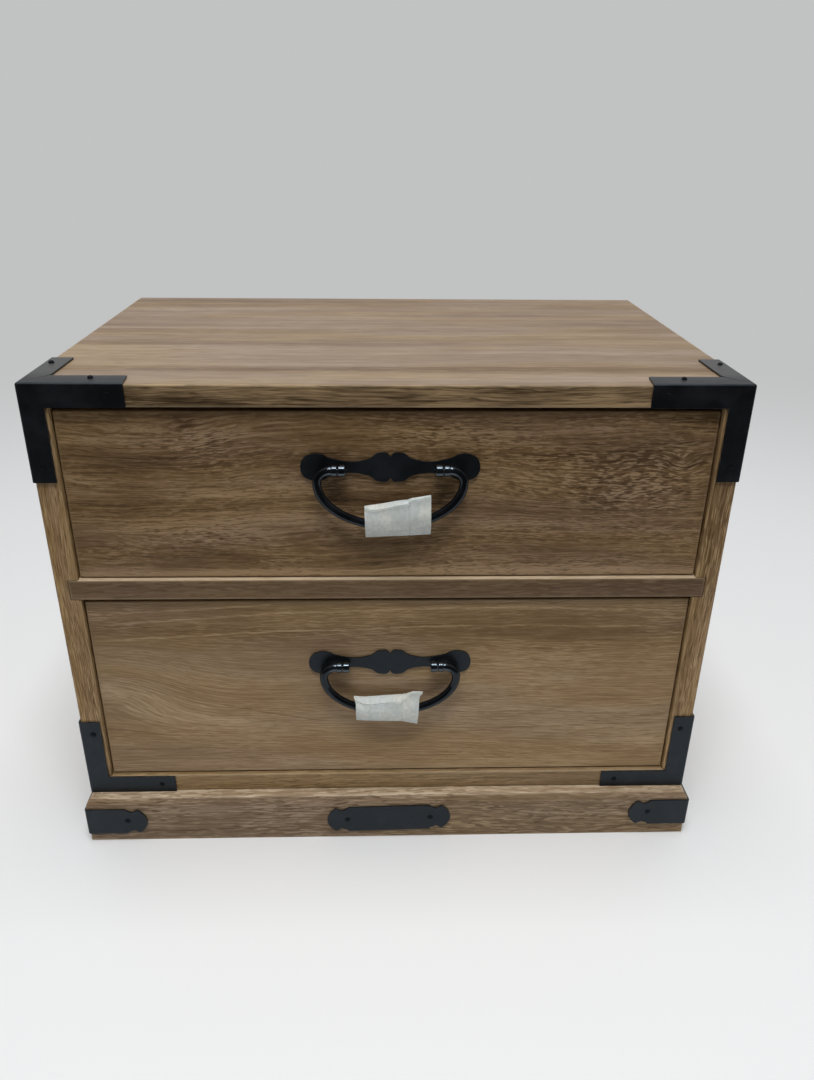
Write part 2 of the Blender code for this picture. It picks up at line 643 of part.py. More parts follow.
def bail_stations():
    """The bail's centreline and radius at each section, from the left pin's tip to the right one's."""
    head_out = POST_SPACING / 2 + POST_HEAD_LENGTH / 2
    pin_tip = head_out - BAIL_PIN_LENGTH
    collar_in = head_out + BAIL_END_GAP
    collar_out = collar_in + BAIL_COLLAR_LENGTH
    edge = BAIL_COLLAR_ROUND
    left = [((-pin_tip, 0), BAIL_PIN_RADIUS), ((-collar_in, 0), BAIL_PIN_RADIUS),
            ((-collar_in, 0), BAIL_COLLAR_RADIUS - edge), ((-collar_in - edge, 0), BAIL_COLLAR_RADIUS),
            ((-collar_out + edge, 0), BAIL_COLLAR_RADIUS), ((-collar_out, 0), BAIL_COLLAR_RADIUS - edge)]
    elbow = ellipse_run((-collar_out, -BAIL_ELBOW_DROP), (BAIL_WIDTH / 2 - collar_out, BAIL_ELBOW_DROP),
                        math.pi / 2, math.pi, ELBOW_STEPS)
    for step, spot in enumerate(elbow, 1):
        share = step / ELBOW_STEPS
        left.append((spot, (BAIL_COLLAR_RADIUS - edge) * (1 - share) + BAIL_RADIUS * share))
    grip = [(spot, BAIL_RADIUS) for spot in grip_centreline()]
    right = [((-spot[0], spot[1]), radius) for spot, radius in reversed(left[:-1])]
    return left + grip + right


def swept_mesh(stations, sides):
    """A round section swept along a path in X and Z, with its own radius at each station."""
    bm = bmesh.new()
    spots = [Vector((x, 0, z)) for (x, z), radius in stations]
    rings = []
    for i, (spot, (_, radius)) in enumerate(zip(spots, stations)):
        before = next((p for p in reversed(spots[:i]) if (p - spot).length > 1e-7), spot)
        after = next((p for p in spots[i + 1:] if (p - spot).length > 1e-7), spot)
        way = (after - before).normalized()
        across = Vector((-way.z, 0, way.x))
        turn = [2 * math.pi * k / sides for k in range(sides)]
        rings.append([bm.verts.new(spot + radius * (math.cos(a) * across + math.sin(a) * Vector((0, 1, 0))))
                      for a in turn])
    for first, second in zip(rings, rings[1:]):
        for k in range(sides):
            m = (k + 1) % sides
            bm.faces.new((first[k], first[m], second[m], second[k]))
    for ring in (rings[0], rings[-1]):
        bm.faces.new(ring)
    return mesh_from(bm)


def foam_sleeve(name, shift, lift, tilt, look, pivot):
    """A foam sleeve folded flat round the grip, hollowed where the bail passes through it."""
    centre = place_in_chest(pivot) + Vector((shift, 0, lift - BAIL_DROP))
    made = piece(name, box_mesh((SLEEVE_LENGTH, SLEEVE_THICKNESS, SLEEVE_HEIGHT)), look, pivot, centre)
    made.rotation_euler.y = -tilt
    ease = made.modifiers.new("soft_edges", "BEVEL")
    ease.width = BAIL_RADIUS + SLEEVE_GAP
    ease.segments = 3
    stations = [(spot, BAIL_RADIUS + SLEEVE_GAP) for spot in grip_centreline()]
    tool = piece(f"{name}-bore", swept_mesh(stations, BAIL_SIDES), look, pivot, place_in_chest(pivot))
    return combine(made, tool, "DIFFERENCE", "bail_bore")


def handle(prefix, height, sleeve_place, looks, slide):
    """A whole handle on a drawer: backplate, posts, nuts, and the bail and its sleeve on their pivot."""
    iron, steel, foam = looks
    backplate(f"{prefix}_handle_backplate", height, iron, slide)
    for side, hand in ((-1, "left"), (1, "right")):
        across = side * POST_SPACING / 2
        post(f"{prefix}_handle_{hand}_post", across, height, iron, slide)
        nut(f"{prefix}_handle_{hand}_nut", across, height, steel, slide)
    pivot = empty(f"{prefix}_bail_pivot", (0, PIVOT_DEPTH, height), slide)
    rod = swept_mesh(bail_stations(), BAIL_SIDES)
    smooth(piece(f"{prefix}_handle_bail", rod, iron, pivot, place_in_chest(pivot)))
    foam_sleeve(f"{prefix}_handle_sleeve", *sleeve_place, foam, pivot)


def main():
    clear_scene()
    wood = finish("scorched_paulownia", (0.20, 0.125, 0.065), 0.62)
    box_wood = finish("pale_paulownia", (0.55, 0.42, 0.28), 0.65)
    plywood = finish("back_plywood", (0.38, 0.27, 0.16), 0.65)
    iron = finish("black_lacquered_iron", (0.012, 0.012, 0.014), 0.42, 0.6)
    steel = finish("plated_steel", (0.55, 0.54, 0.50), 0.35, 1.0)
    foam = finish("white_foam", (0.70, 0.72, 0.72), 0.6)
    chest = empty("chest", (0, -DEPTH_CENTRE, 0))
    case(wood, plywood, chest)
    plinth(wood, chest)
    ironwork(iron, chest)
    upper_sleeve = (UPPER_SLEEVE_SHIFT, UPPER_SLEEVE_LIFT, UPPER_SLEEVE_TILT)
    lower_sleeve = (LOWER_SLEEVE_SHIFT, LOWER_SLEEVE_LIFT, LOWER_SLEEVE_TILT)
    drawers = (("upper", UPPER_BAY_FLOOR, UPPER_BAY_HEIGHT, UPPER_HANDLE_RISE, upper_sleeve),
               ("lower", LOWER_BAY_FLOOR, LOWER_BAY_HEIGHT, LOWER_HANDLE_RISE, lower_sleeve))
    for prefix, floor, bay_height, rise, sleeve_place in drawers:
        handle_height = front_middle(floor, bay_height) + rise
        slide = drawer(prefix, floor, bay_height, handle_height, (wood, box_wood), chest)
        handle(prefix, handle_height, sleeve_place, (iron, steel, foam), slide)


main()
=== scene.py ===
"""Tabletop drawer chest: two drawers in a case of brown brushed boards, on a moulded plinth.

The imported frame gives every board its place. This script adds the wood, the black sheet iron, the hanging
handles with their foam wraps, the nails and pins, and the pale table that the chest stands on.
"""

import math

import bmesh
import bpy
from mathutils import Matrix, Vector, noise
from mathutils.geometry import interpolate_bezier


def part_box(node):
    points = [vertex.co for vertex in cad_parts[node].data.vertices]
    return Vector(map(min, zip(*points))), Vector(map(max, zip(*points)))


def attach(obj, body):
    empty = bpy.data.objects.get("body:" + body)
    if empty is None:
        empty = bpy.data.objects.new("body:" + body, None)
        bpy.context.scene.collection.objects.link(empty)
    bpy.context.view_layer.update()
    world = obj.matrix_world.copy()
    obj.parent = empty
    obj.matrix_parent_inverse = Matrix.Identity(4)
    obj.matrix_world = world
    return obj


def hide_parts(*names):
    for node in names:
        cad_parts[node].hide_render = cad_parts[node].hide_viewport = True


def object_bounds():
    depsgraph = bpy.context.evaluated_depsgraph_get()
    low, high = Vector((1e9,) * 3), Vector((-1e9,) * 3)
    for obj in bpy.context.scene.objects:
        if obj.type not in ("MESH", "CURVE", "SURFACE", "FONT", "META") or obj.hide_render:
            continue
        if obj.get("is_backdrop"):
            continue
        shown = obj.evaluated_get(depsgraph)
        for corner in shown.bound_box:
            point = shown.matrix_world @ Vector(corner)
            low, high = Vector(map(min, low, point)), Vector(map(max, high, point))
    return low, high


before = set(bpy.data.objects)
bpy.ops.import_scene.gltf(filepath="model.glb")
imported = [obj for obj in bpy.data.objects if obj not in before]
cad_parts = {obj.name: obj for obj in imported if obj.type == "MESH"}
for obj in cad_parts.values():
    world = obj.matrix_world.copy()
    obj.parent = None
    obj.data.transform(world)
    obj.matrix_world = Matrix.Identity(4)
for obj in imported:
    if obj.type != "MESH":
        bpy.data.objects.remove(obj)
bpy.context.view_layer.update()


# The setting: a wide pale table of matt painted board, a broad soft lamp and a narrow strip lamp hung over
# it, and the even light of a pale room whose front is dark in glosses. The eye stands in front of the chest
# and looks down on it.

MM = 0.001
TABLE_RADIUS = 9.0
TABLE_DROP = 0.1 * MM
TABLE_SIDES = 96
TABLE_PAINT = (0.86, 0.87, 0.88)
TABLE_ROUGHNESS = 0.55
TABLE_NEAR = 0.50
TABLE_FAR = 1.50
ROOM_SHADE = (0.535, 0.54, 0.54)
ROOM_LIGHT = 0.16
DARK_FRONT_START = -0.36
DARK_FRONT_FULL = -0.46
DARK_FRONT = (0.030, 0.029, 0.028)
ROOM_FRONT_FULL = -0.35
LAMPS = {"broad_lamp": ((0.0, -0.45, 2.60), (1.3, 2.0), 49.0),
         "strip_lamp": ((0.0, -0.90, 2.20), (1.2, 0.06), 12.5)}
EYE_PLACE = (-5.25332 * MM, -508.59277 * MM, 382.07612 * MM)
EYE_PITCH = 0.4444805
EYE_YAW = 0.0103812
EYE_ROLL = 0.0296842
EYE_LENS = 28.667
EYE_NEAREST = 0.01


def node(tree, kind, inputs=None, **settings):
    """A node with its settings, and its inputs set to values or joined to other nodes' outputs."""
    made = tree.nodes.new(kind)
    for name, value in settings.items():
        setattr(made, name, value)
    for key, value in (inputs or {}).items():
        if isinstance(value, bpy.types.NodeSocket):
            tree.links.new(value, made.inputs[key])
        else:
            made.inputs[key].default_value = value
    return made


def new_finish(name, **sockets):
    """A material with a Principled BSDF; sockets sets the shader's own plain values."""
    look = bpy.data.materials.new(name)
    look.use_nodes = True
    shader = look.node_tree.nodes["Principled BSDF"]
    for socket, value in sockets.items():
        shader.inputs[socket.replace("_", " ")].default_value = value
    return look, look.node_tree, shader


def new_piece(name, mesh, look=None):
    """An object at the origin that holds a mesh, with its finish."""
    made = bpy.data.objects.new(name, mesh)
    bpy.context.scene.collection.objects.link(made)
    if look is not None:
        mesh.materials.clear()
        mesh.materials.append(look)
    return made


def mesh_of(bm, name, smooth=True):
    mesh = bpy.data.meshes.new(name)
    bm.to_mesh(mesh)
    bm.free()
    if smooth:
        mesh.shade_smooth()
    return mesh


def rgba(colour):
    return (*colour, 1.0)


def tree_of(values):
    """The node tree that the first socket among some values belongs to."""
    return next(value.id_data for value in values if isinstance(value, bpy.types.NodeSocket))


def calc(operation, *values, clamp=False):
    """The output of a Math node on values or sockets."""
    return node(tree_of(values), "ShaderNodeMath", dict(enumerate(values)), operation=operation,
                use_clamp=clamp).outputs[0]


def ramp(value, low, high, to_low=0.0, to_high=1.0):
    """A value eased from one range to another."""
    return node(value.id_data, "ShaderNodeMapRange", {
        "Value": value, "From Min": low, "From Max": high, "To Min": to_low, "To Max": to_high},
        interpolation_type="SMOOTHSTEP").outputs[0]


def parts_of(vector):
    return tuple(node(vector.id_data, "ShaderNodeSeparateXYZ", {0: vector}).outputs)


def blended(share, first, second):
    """One shader that gives way to another."""
    return node(share.id_data, "ShaderNodeMixShader", {0: share, 1: first, 2: second}).outputs[0]


def object_spot(tree):
    return node(tree, "ShaderNodeTexCoord").outputs["Object"]


def seen_straight_on(tree):
    """1 where a thing is seen directly, in a gloss or through glass, and 0 where it only gives light."""
    path = node(tree, "ShaderNodeLightPath").outputs
    direct = calc("MAXIMUM", path["Is Camera Ray"], path["Is Glossy Ray"])
    return calc("MAXIMUM", direct, path["Is Transmission Ray"])


table_bm = bmesh.new()
bmesh.ops.create_circle(table_bm, cap_ends=True, segments=TABLE_SIDES, radius=TABLE_RADIUS)
bmesh.ops.translate(table_bm, verts=table_bm.verts, vec=(0, 0, -TABLE_DROP))
table_paint, table_tree, table_shader = new_finish("pale_table_paint", Roughness=TABLE_ROUGHNESS,
                                                   Base_Color=rgba(TABLE_PAINT))
table_spot = object_spot(table_tree)
away = node(table_tree, "ShaderNodeVectorMath", {0: table_spot}, operation="LENGTH").outputs["Value"]
fade = calc("MULTIPLY", ramp(away, TABLE_NEAR, TABLE_FAR), seen_straight_on(table_tree))
far_shade = node(table_tree, "ShaderNodeEmission", {"Color": rgba(ROOM_SHADE)}).outputs[0]
table_top = blended(fade, table_shader.outputs[0], far_shade)
# Painted shade: for the chest's light and gloss the table's front part is dark, standing for the unlit room
# behind the eye; the eye itself sees the table pale there.
unseen = calc("SUBTRACT", 1.0, node(table_tree, "ShaderNodeLightPath").outputs["Is Camera Ray"])
in_front = ramp(parts_of(table_spot)[1], DARK_FRONT_START, DARK_FRONT_FULL)
dark_side = node(table_tree, "ShaderNodeBsdfDiffuse", {"Color": rgba(DARK_FRONT)}).outputs[0]
table_and_room = blended(calc("MULTIPLY", in_front, unseen), table_top, dark_side)
table_tree.links.new(table_and_room, table_tree.nodes["Material Output"].inputs["Surface"])
table = new_piece("pale_table", mesh_of(table_bm, "pale_table", False), table_paint)
table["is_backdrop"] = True

room = bpy.data.worlds.new("pale_room")
room.use_nodes = True
bpy.context.scene.world = room
room_tree = room.node_tree
room_tree.nodes.clear()
soft_light, pale_wall, dark_wall = (
    node(room_tree, "ShaderNodeBackground", {"Color": rgba(colour), "Strength": strength}).outputs[0]
    for colour, strength in (((1, 1, 1), ROOM_LIGHT), (ROOM_SHADE, 1.0), (DARK_FRONT, 1.0)))
room_way = node(room_tree, "ShaderNodeTexCoord").outputs["Generated"]
room_front = ramp(parts_of(room_way)[1], 0.0, ROOM_FRONT_FULL)
in_gloss = calc("MULTIPLY", room_front, node(room_tree, "ShaderNodeLightPath").outputs["Is Glossy Ray"])
walls = blended(in_gloss, pale_wall, dark_wall)
room_look = blended(seen_straight_on(room_tree), soft_light, walls)
node(room_tree, "ShaderNodeOutputWorld", {"Surface": room_look})

for lamp_name, (lamp_place, lamp_size, lamp_power) in LAMPS.items():
    lamp_data = bpy.data.lights.new(lamp_name, "AREA")
    lamp_data.shape = "RECTANGLE"
    lamp_data.size, lamp_data.size_y = lamp_size
    lamp_data.energy = lamp_power
    lamp = bpy.data.objects.new(lamp_name, lamp_data)
    lamp.location = lamp_place
    bpy.context.scene.collection.objects.link(lamp)

eye_data = bpy.data.cameras.new("eye")
eye_data.lens = EYE_LENS
eye_data.clip_start = EYE_NEAREST
eye = bpy.data.objects.new("eye", eye_data)
bpy.context.scene.collection.objects.link(eye)
sight = (Matrix.Rotation(EYE_PITCH, 3, "X") @ Matrix.Rotation(EYE_YAW, 3, "Y")
         @ Matrix.Rotation(EYE_ROLL, 3, "Z"))
eye_axes = Matrix((sight[0], sight[2], -sight[1])).transposed()
eye.matrix_world = Matrix.Translation(EYE_PLACE) @ eye_axes.to_4x4()
bpy.context.scene.camera = eye
bpy.context.scene.view_settings.view_transform = "Standard"


# The boards of the case: a paulownia-like wood, scorched and wire-brushed so that the hard lines stand
# proud, and rubbed with a thin satin lacquer. Each board is sawn from its own place in the log.

FRONT_TURN = Matrix.Identity(3)
TOP_TURN = Matrix(((1, 0, 0), (0, 0, 1), (0, -1, 0)))
UPRIGHT_TURN = Matrix(((0, 1, 0), (0, 0, 1), (1, 0, 0)))
RETURN_TURN = Matrix(((0, -1, 0), (1, 0, 0), (0, 0, 1)))
BARE_WOOD = (0.46, 0.35, 0.21)
WOOD_GLOSS = 0.22
WOOD_RELIEF = 0.22 * MM
RUB_WIDTH = 1.6 * MM
CALM_START = 1.0 * MM
CALM_FULL = 10.0 * MM


def new_group(name, inputs, outputs, kind="Shader"):
    """A node group with named sockets by kind; returns it with the sockets of its input and output node."""
    group = bpy.data.node_groups.new(name, kind + "NodeTree")
    for way, kinds in (("INPUT", inputs), ("OUTPUT", outputs)):
        for socket_kind, sockets in kinds.items():
            for socket in sockets.split(", "):
                group.interface.new_socket(socket, in_out=way, socket_type="NodeSocket" + socket_kind)
    return group, group.nodes.new("NodeGroupInput").outputs, group.nodes.new("NodeGroupOutput").inputs


def vector_calc(operation, *values):
    return node(tree_of(values), "ShaderNodeVectorMath", dict(enumerate(values)),
                operation=operation).outputs[0]


def joined(x, y, z):
    return node(tree_of((x, y, z)), "ShaderNodeCombineXYZ", {0: x, 1: y, 2: z}).outputs[0]


def mixed(share, first, second, blend="MIX"):
    """A colour between two others."""
    return node(tree_of((share, first, second)), "ShaderNodeMix", {0: share, 6: first, 7: second},
                data_type="RGBA", blend_type=blend).outputs[2]


def cloud(vector, scale, detail=2.0, roughness=0.5):
    """A noise from 0 to 1; the scale is how many lumps there are in a metre, or in a metre of each axis."""
    if isinstance(scale, tuple):
        vector = vector_calc("MULTIPLY", vector, scale)
        scale = 1.0
    return node(vector.id_data, "ShaderNodeTexNoise", {
        "Vector": vector, "Scale": scale, "Detail": detail, "Roughness": roughness}).outputs[0]


def feed(sockets, **values):
    """Joins values to sockets by name, with _ for a space."""
    for name, value in values.items():
        value.id_data.links.new(value, sockets[name.replace("_", " ")])


def make_brushed_grain():
    """Grain of a brushed board: X runs along it, Y through its thickness and Z across its face."""
    group, given, result = new_group("brushed_grain", {
        "Vector": "Vector, Log Place",
        "Float": "Lean, Figure, Stir, Shade, Vein Field, Wander, Ripple, Line Width, Dash Length, "
                 "Vein Pitch, Band Share, Patch Share, Line Share, Dash Share, Vein Share",
        "Color": "Dark, Mid, Pale"}, {"Color": "Colour", "Float": "Tone, Roughness, Height"})

    def wave(value, size, total):
        return calc("MULTIPLY_ADD", calc("SUBTRACT", value, 0.5), size, total)

    def streaks(along_scale, across_value, detail=1.0, shift=0.0):
        run = calc("MULTIPLY_ADD", along, along_scale, shift)
        return cloud(joined(run, across_value, deep), 1.0, detail, 0.55)

    placed = vector_calc("ADD", given["Vector"], given["Log Place"])
    along, through, across = parts_of(placed)
    deep = calc("MULTIPLY", through, 40.0)
    ring = calc("ADD", calc("MULTIPLY_ADD", through, given["Lean"], across), given["Figure"])
    for scale, size in (((7.0, 26.0, 26.0), given["Wander"]), ((48.0, 120.0, 120.0), given["Ripple"]),
                        ((90.0, 150.0, 150.0), calc("MULTIPLY", given["Stir"], 0.3))):
        ring = wave(cloud(placed, scale, 1.0), size, ring)
    line = calc("DIVIDE", ring, given["Line Width"])
    dash = calc("DIVIDE", 1.0, given["Dash Length"])
    band = streaks(2.4, calc("MULTIPLY", ring, 85.0), 2.0)
    patch = streaks(16.0, calc("MULTIPLY", ring, 55.0), 2.0)
    hue = streaks(8.0, calc("MULTIPLY", ring, 45.0), 1.0, 7.3)
    lines = streaks(34.0, line, 2.0)
    fibre = streaks(85.0, calc("MULTIPLY", ring, 2700.0))
    pores = streaks(dash, calc("MULTIPLY", line, 1.15))
    strokes = streaks(calc("MULTIPLY", dash, 0.8), calc("MULTIPLY", line, 1.35), 1.0, 31.7)
    vein = 0.0
    for pitch_share, weight in ((1.0, 1.0), (0.38, 0.6)):
        course = streaks(4.0, calc("DIVIDE", ring, calc("MULTIPLY", given["Vein Pitch"], pitch_share)))
        edge = calc("ABSOLUTE", calc("SUBTRACT", course, 0.5))
        vein = calc("MULTIPLY_ADD", ramp(edge, 0.035, 0.0), weight, vein)
    vein = calc("MULTIPLY", calc("MULTIPLY", vein, given["Vein Field"]), ramp(strokes, 0.38, 0.62))
    strong = calc("MULTIPLY", ramp(patch, 0.36, 0.64, 0.35, 1.1), given["Dash Share"])
    strong = calc("MULTIPLY_ADD", given["Stir"], 190.0, strong)
    strokes = calc("MULTIPLY_ADD", given["Stir"], 9.0, strokes)
    stroke = calc("MULTIPLY", ramp(strokes, 0.52, 0.63), strong, clamp=True)
    pores = calc("MULTIPLY_ADD", given["Stir"], -7.0, pores)
    pore = calc("MULTIPLY", ramp(pores, 0.44, 0.33), strong, clamp=True)
    tone = calc("ADD", given["Shade"], 0.5)
    for value, share in ((band, "Band Share"), (patch, "Patch Share"), (lines, "Line Share")):
        tone = wave(value, given[share], tone)
    tone = calc("MULTIPLY_ADD", vein, given["Vein Share"], wave(fibre, 0.5, tone))
    darker = calc("MULTIPLY", tone, 2.0, clamp=True)
    paler = calc("MULTIPLY_ADD", tone, 2.0, -1.0, clamp=True)
    colour = mixed(paler, mixed(darker, given["Dark"], given["Mid"]), given["Pale"])
    colour = mixed(calc("MULTIPLY", stroke, 0.8), colour, given["Pale"])
    colour = mixed(calc("MULTIPLY", pore, 0.75), colour, given["Dark"])
    tint = mixed(ramp(hue, 0.36, 0.64), (1.03, 1.01, 0.94, 1.0), (0.98, 0.98, 1.06, 1.0))
    proud = calc("SUBTRACT", stroke, pore)
    height = calc("MULTIPLY_ADD", lines, 0.6, calc("MULTIPLY", fibre, 0.25))
    feed(result, Colour=mixed(1.0, colour, tint, "MULTIPLY"), Tone=calc("MULTIPLY_ADD", proud, 0.4, tone),
         Roughness=calc("MULTIPLY_ADD", tone, -0.16, 0.55), Height=calc("MULTIPLY_ADD", proud, 0.5, height))
    return group


def make_soft_place():
    """A soft swelling round a place on a board's face, added to a sum."""
    group, given, result = new_group("soft_place", {
        "Vector": "Vector, Place, Reach", "Float": "Amount, Sum"}, {"Float": "Sum"})
    away = vector_calc("DIVIDE", vector_calc("SUBTRACT", given["Vector"], given["Place"]), given["Reach"])
    along, through, across = parts_of(away)
    reach = calc("MULTIPLY_ADD", along, along, calc("MULTIPLY", across, across))
    swell = calc("EXPONENT", calc("MULTIPLY", reach, -1.0))
    feed(result, Sum=calc("MULTIPLY_ADD", swell, given["Amount"], given["Sum"]))
    return group


def make_long_streak():
    """One thin streak that runs along a board's face, bowed, wavering and broken, added to a sum."""
    group, given, result = new_group("long_streak", {
        "Vector": "Vector, Place", "Float": "Slope, Bow, Half Length, Half Width, Amount, Sum"},
        {"Float": "Sum"})
    along, through, across = parts_of(vector_calc("SUBTRACT", given["Vector"], given["Place"]))
    path = calc("MULTIPLY", along, calc("MULTIPLY_ADD", along, given["Bow"], given["Slope"]))
    spot = vector_calc("MULTIPLY", given["Vector"], (1.0, 1.0, 0.2))
    for scale, size in ((45.0, 0.0022), (260.0, 0.0011)):
        path = calc("MULTIPLY_ADD", calc("SUBTRACT", cloud(spot, scale, 1.0), 0.5), size, path)
    line = ramp(calc("ABSOLUTE", calc("SUBTRACT", across, path)), given["Half Width"], 0.0)
    share = calc("DIVIDE", calc("ABSOLUTE", along), given["Half Length"])
    broken = cloud(given["Vector"], (140.0, 140.0, 700.0))
    weight = calc("MULTIPLY", ramp(share, 1.0, 0.8), ramp(broken, 0.32, 0.58, 0.40, 1.0))
    weight = calc("MULTIPLY", weight, given["Amount"])
    feed(result, Sum=calc("MULTIPLY_ADD", line, weight, given["Sum"]))
    return group


def make_rubbed_arris():
    """A mask along the edges of a board of a given half size, broken as by rubbing."""
    group, given, result = new_group("rubbed_arris", {"Vector": "Vector, Half Size", "Float": "Width"},
                                     {"Float": "Mask"})
    inside = vector_calc("SUBTRACT", given["Half Size"], vector_calc("ABSOLUTE", given["Vector"]))
    x, y, z = parts_of(inside)
    second = calc("MAXIMUM", calc("MINIMUM", x, y), calc("MINIMUM", calc("MAXIMUM", x, y), z))
    broken = cloud(given["Vector"], 160.0, 3.0, 0.6)
    reach = calc("MULTIPLY", given["Width"], calc("MULTIPLY_ADD", broken, 1.6, 0.2))
    worn = calc("SUBTRACT", 1.0, calc("DIVIDE", second, reach), clamp=True)
    feed(result, Mask=calc("POWER", worn, 1.4))
    return group


brushed_grain = make_brushed_grain()
soft_place = make_soft_place()
long_streak = make_long_streak()
rubbed_arris = make_rubbed_arris()


def grouped(group, values):
    """The outputs of a group that is placed in a material, with its values by socket name."""
    return node(tree_of(values.values()), "ShaderNodeGroup", values, node_tree=group).outputs


def bumped(height, strength, distance):
    return node(height.id_data, "ShaderNodeBump", {
        "Strength": strength, "Distance": distance, "Height": height}).outputs[0]


def swelling(board, places, unit=1.0, total=0.0):
    """Soft places as (along, across, reach along, reach across, amount): millimetres from the middle."""
    for along, across, reach_along, reach_across, amount in places:
        total = grouped(soft_place, {
            "Vector": board, "Place": (along * MM, 0, across * MM), "Amount": amount * unit, "Sum": total,
            "Reach": (reach_along * MM, 1, reach_across * MM)})["Sum"]
    return total


def streaked(board, streaks, total):
    """Long streaks as (along, across, slope, bow per metre, half length, half width, amount)."""
    for along, across, slope, bow, half_length, half_width, amount in streaks:
        total = grouped(long_streak, {
            "Vector": board, "Place": (along * MM, 0, across * MM), "Slope": slope, "Bow": bow,
            "Half Length": half_length * MM, "Half Width": half_width * MM, "Amount": amount,
            "Sum": total})["Sum"]
    return total


def dress_in_wood(name, tones, turn=FRONT_TURN, log=(0, 0, 0), lean=0.7, wander=0.008, ripple=0.0016,
                  line=0.0014, dash=0.008, pitch=0.008, shares=(1.3, 0.5, 1.0, 0.8, 0.0), eyes=(), stirs=(),
                  shades=(), streaks=(), veined=(), rub=0.35, edge_tones=None, edge_way=1.0,
                  edge_deep=1.1 * MM, calm=1.0):
    """Gives a board of the frame its finish: dark, mid and pale tones, with the grain along the turned X.

    The shares are those of bands, patches, lines, dashes and pale veins. Eyes turn the lines aside and
    stirs cross them, both in millimetres; shades and streaks darken or lighten them; edge_tones are the
    dark and pale of one long edge, the one that lies the edge_way along Z, and reach edge_deep from it.
    Behind the front arris only the calm share of the dashes is left.
    """
    low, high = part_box(name)
    half = Vector([abs(v) for v in turn.transposed() @ ((high - low) / 2)])
    look, tree, shader = new_finish(f"{name}_wood", Specular_IOR_Level=WOOD_GLOSS)
    spot = object_spot(tree)
    board = node(tree, "ShaderNodeMapping", {"Vector": spot, "Location": (low + high) / 2,
                                             "Rotation": turn.to_euler()}, vector_type="TEXTURE").outputs[0]
    dark, mid, pale = (rgba(tone) for tone in tones)
    band_share, patch_share, line_share, dash_share, vein_share = shares
    if calm < 1:
        back = parts_of(spot)[1]
        dash_share = ramp(back, low.y + CALM_START, low.y + CALM_FULL, dash_share, dash_share * calm)
    grain = grouped(brushed_grain, {
        "Vector": board, "Log Place": log, "Lean": lean, "Figure": swelling(board, eyes, MM),
        "Stir": swelling(board, stirs, MM), "Shade": streaked(board, streaks, swelling(board, shades)),
        "Vein Field": swelling(board, veined), "Wander": wander, "Ripple": ripple, "Line Width": line,
        "Dash Length": dash, "Vein Pitch": pitch, "Band Share": band_share, "Patch Share": patch_share,
        "Line Share": line_share, "Dash Share": dash_share, "Vein Share": vein_share,
        "Dark": dark, "Mid": mid, "Pale": pale})
    colour = grain["Colour"]
    if edge_tones is not None:
        across = calc("MULTIPLY", parts_of(board)[2], edge_way)
        at_edge = ramp(across, half.z - edge_deep, half.z - 0.36 * edge_deep)
        sawn = mixed(ramp(grain["Tone"], 0.1, 0.9), *(rgba(tone) for tone in edge_tones))
        colour = mixed(at_edge, colour, sawn)
    worn = grouped(rubbed_arris, {"Vector": board, "Half Size": half, "Width": RUB_WIDTH})["Mask"]
    colour = mixed(calc("MULTIPLY", worn, rub), colour, rgba(BARE_WOOD))
    feed(shader.inputs, Base_Color=colour, Roughness=grain["Roughness"],
         Normal=bumped(grain["Height"], 0.6, WOOD_RELIEF))
    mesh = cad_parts[name].data
    mesh.materials.clear()
    mesh.materials.append(look)


TOP_TONES = ((0.168, 0.113, 0.071), (0.248, 0.175, 0.112), (0.341, 0.255, 0.168))
TOP_EDGE_TONES = ((0.054, 0.030, 0.011), (0.450, 0.308, 0.165))
TOP_SHADES = ((0, -104, 9000, 8, 0.48), (20, -85.5, 170, 5.5, -0.68),
              (-40, 40, 120, 25, 0.18), (0, -38, 9000, 24, 0.18),
              (-130, -115.8, 60, 1.1, -0.16))
STILE_TONES = ((0.128, 0.070, 0.027), (0.330, 0.207, 0.092), (0.540, 0.374, 0.196))
STILE_SHADES = {"left": ((52, 0, 40, 9000, 0.12), (-52, 0, 40, 9000, -0.12)),
                "right": ((52, 0, 40, 9000, -0.26),)}
SIDE_EYES = ((-30, 25, 90, 24, 12), (70, -35, 80, 20, -10))
RAIL_TONES = ((0.101, 0.060, 0.032), (0.156, 0.096, 0.050), (0.241, 0.161, 0.091))
# The rail's top ledge is very pale: worn bare wood at its arris, and a painted highlight along it.
WORN_AND_LIT_LEDGE_TONES = ((0.437, 0.322, 0.201), (0.644, 0.517, 0.368))
FOOT_TONES = ((0.146, 0.092, 0.044), (0.260, 0.172, 0.083), (0.395, 0.279, 0.151))

dress_in_wood("top_panel", TOP_TONES, TOP_TURN, (0.3, 0.1, 0.2), lean=1.5, wander=0.010, line=0.0016,
              dash=0.012, shares=(1.5, 0.6, 1.0, 0.55, 0.0), shades=TOP_SHADES, edge_tones=TOP_EDGE_TONES,
              edge_way=-1.0, rub=0.5)
for hand, log_place in (("left", (1.3, 0.5, 0.9)), ("right", (2.1, 1.5, 0.4))):
    dress_in_wood(f"{hand}_side_panel", STILE_TONES, UPRIGHT_TURN, log_place, lean=1.3, line=0.0009,
                  dash=0.009, shares=(1.0, 0.4, 1.3, 1.5, 0.0), shades=STILE_SHADES[hand], eyes=SIDE_EYES,
                  calm=0.4)
dress_in_wood("divider_rail", RAIL_TONES, FRONT_TURN, (0.7, 1.1, 1.4), rub=0.6, edge_tones=WORN_AND_LIT_LEDGE_TONES,
              edge_deep=0.45 * MM)
dress_in_wood("bottom_panel", FOOT_TONES, FRONT_TURN, (1.7, 2.1, 0.6), rub=0.6)
for hand in ("left", "right"):
    dress_in_wood(f"{hand}_drawer_runner", RAIL_TONES, RETURN_TURN, (0.9, 0.2, 1.8))


# The back: a thin sheet of brown plywood let into a rabbet round the case, and held there by rows of
# small steel panel pins driven through its edges.

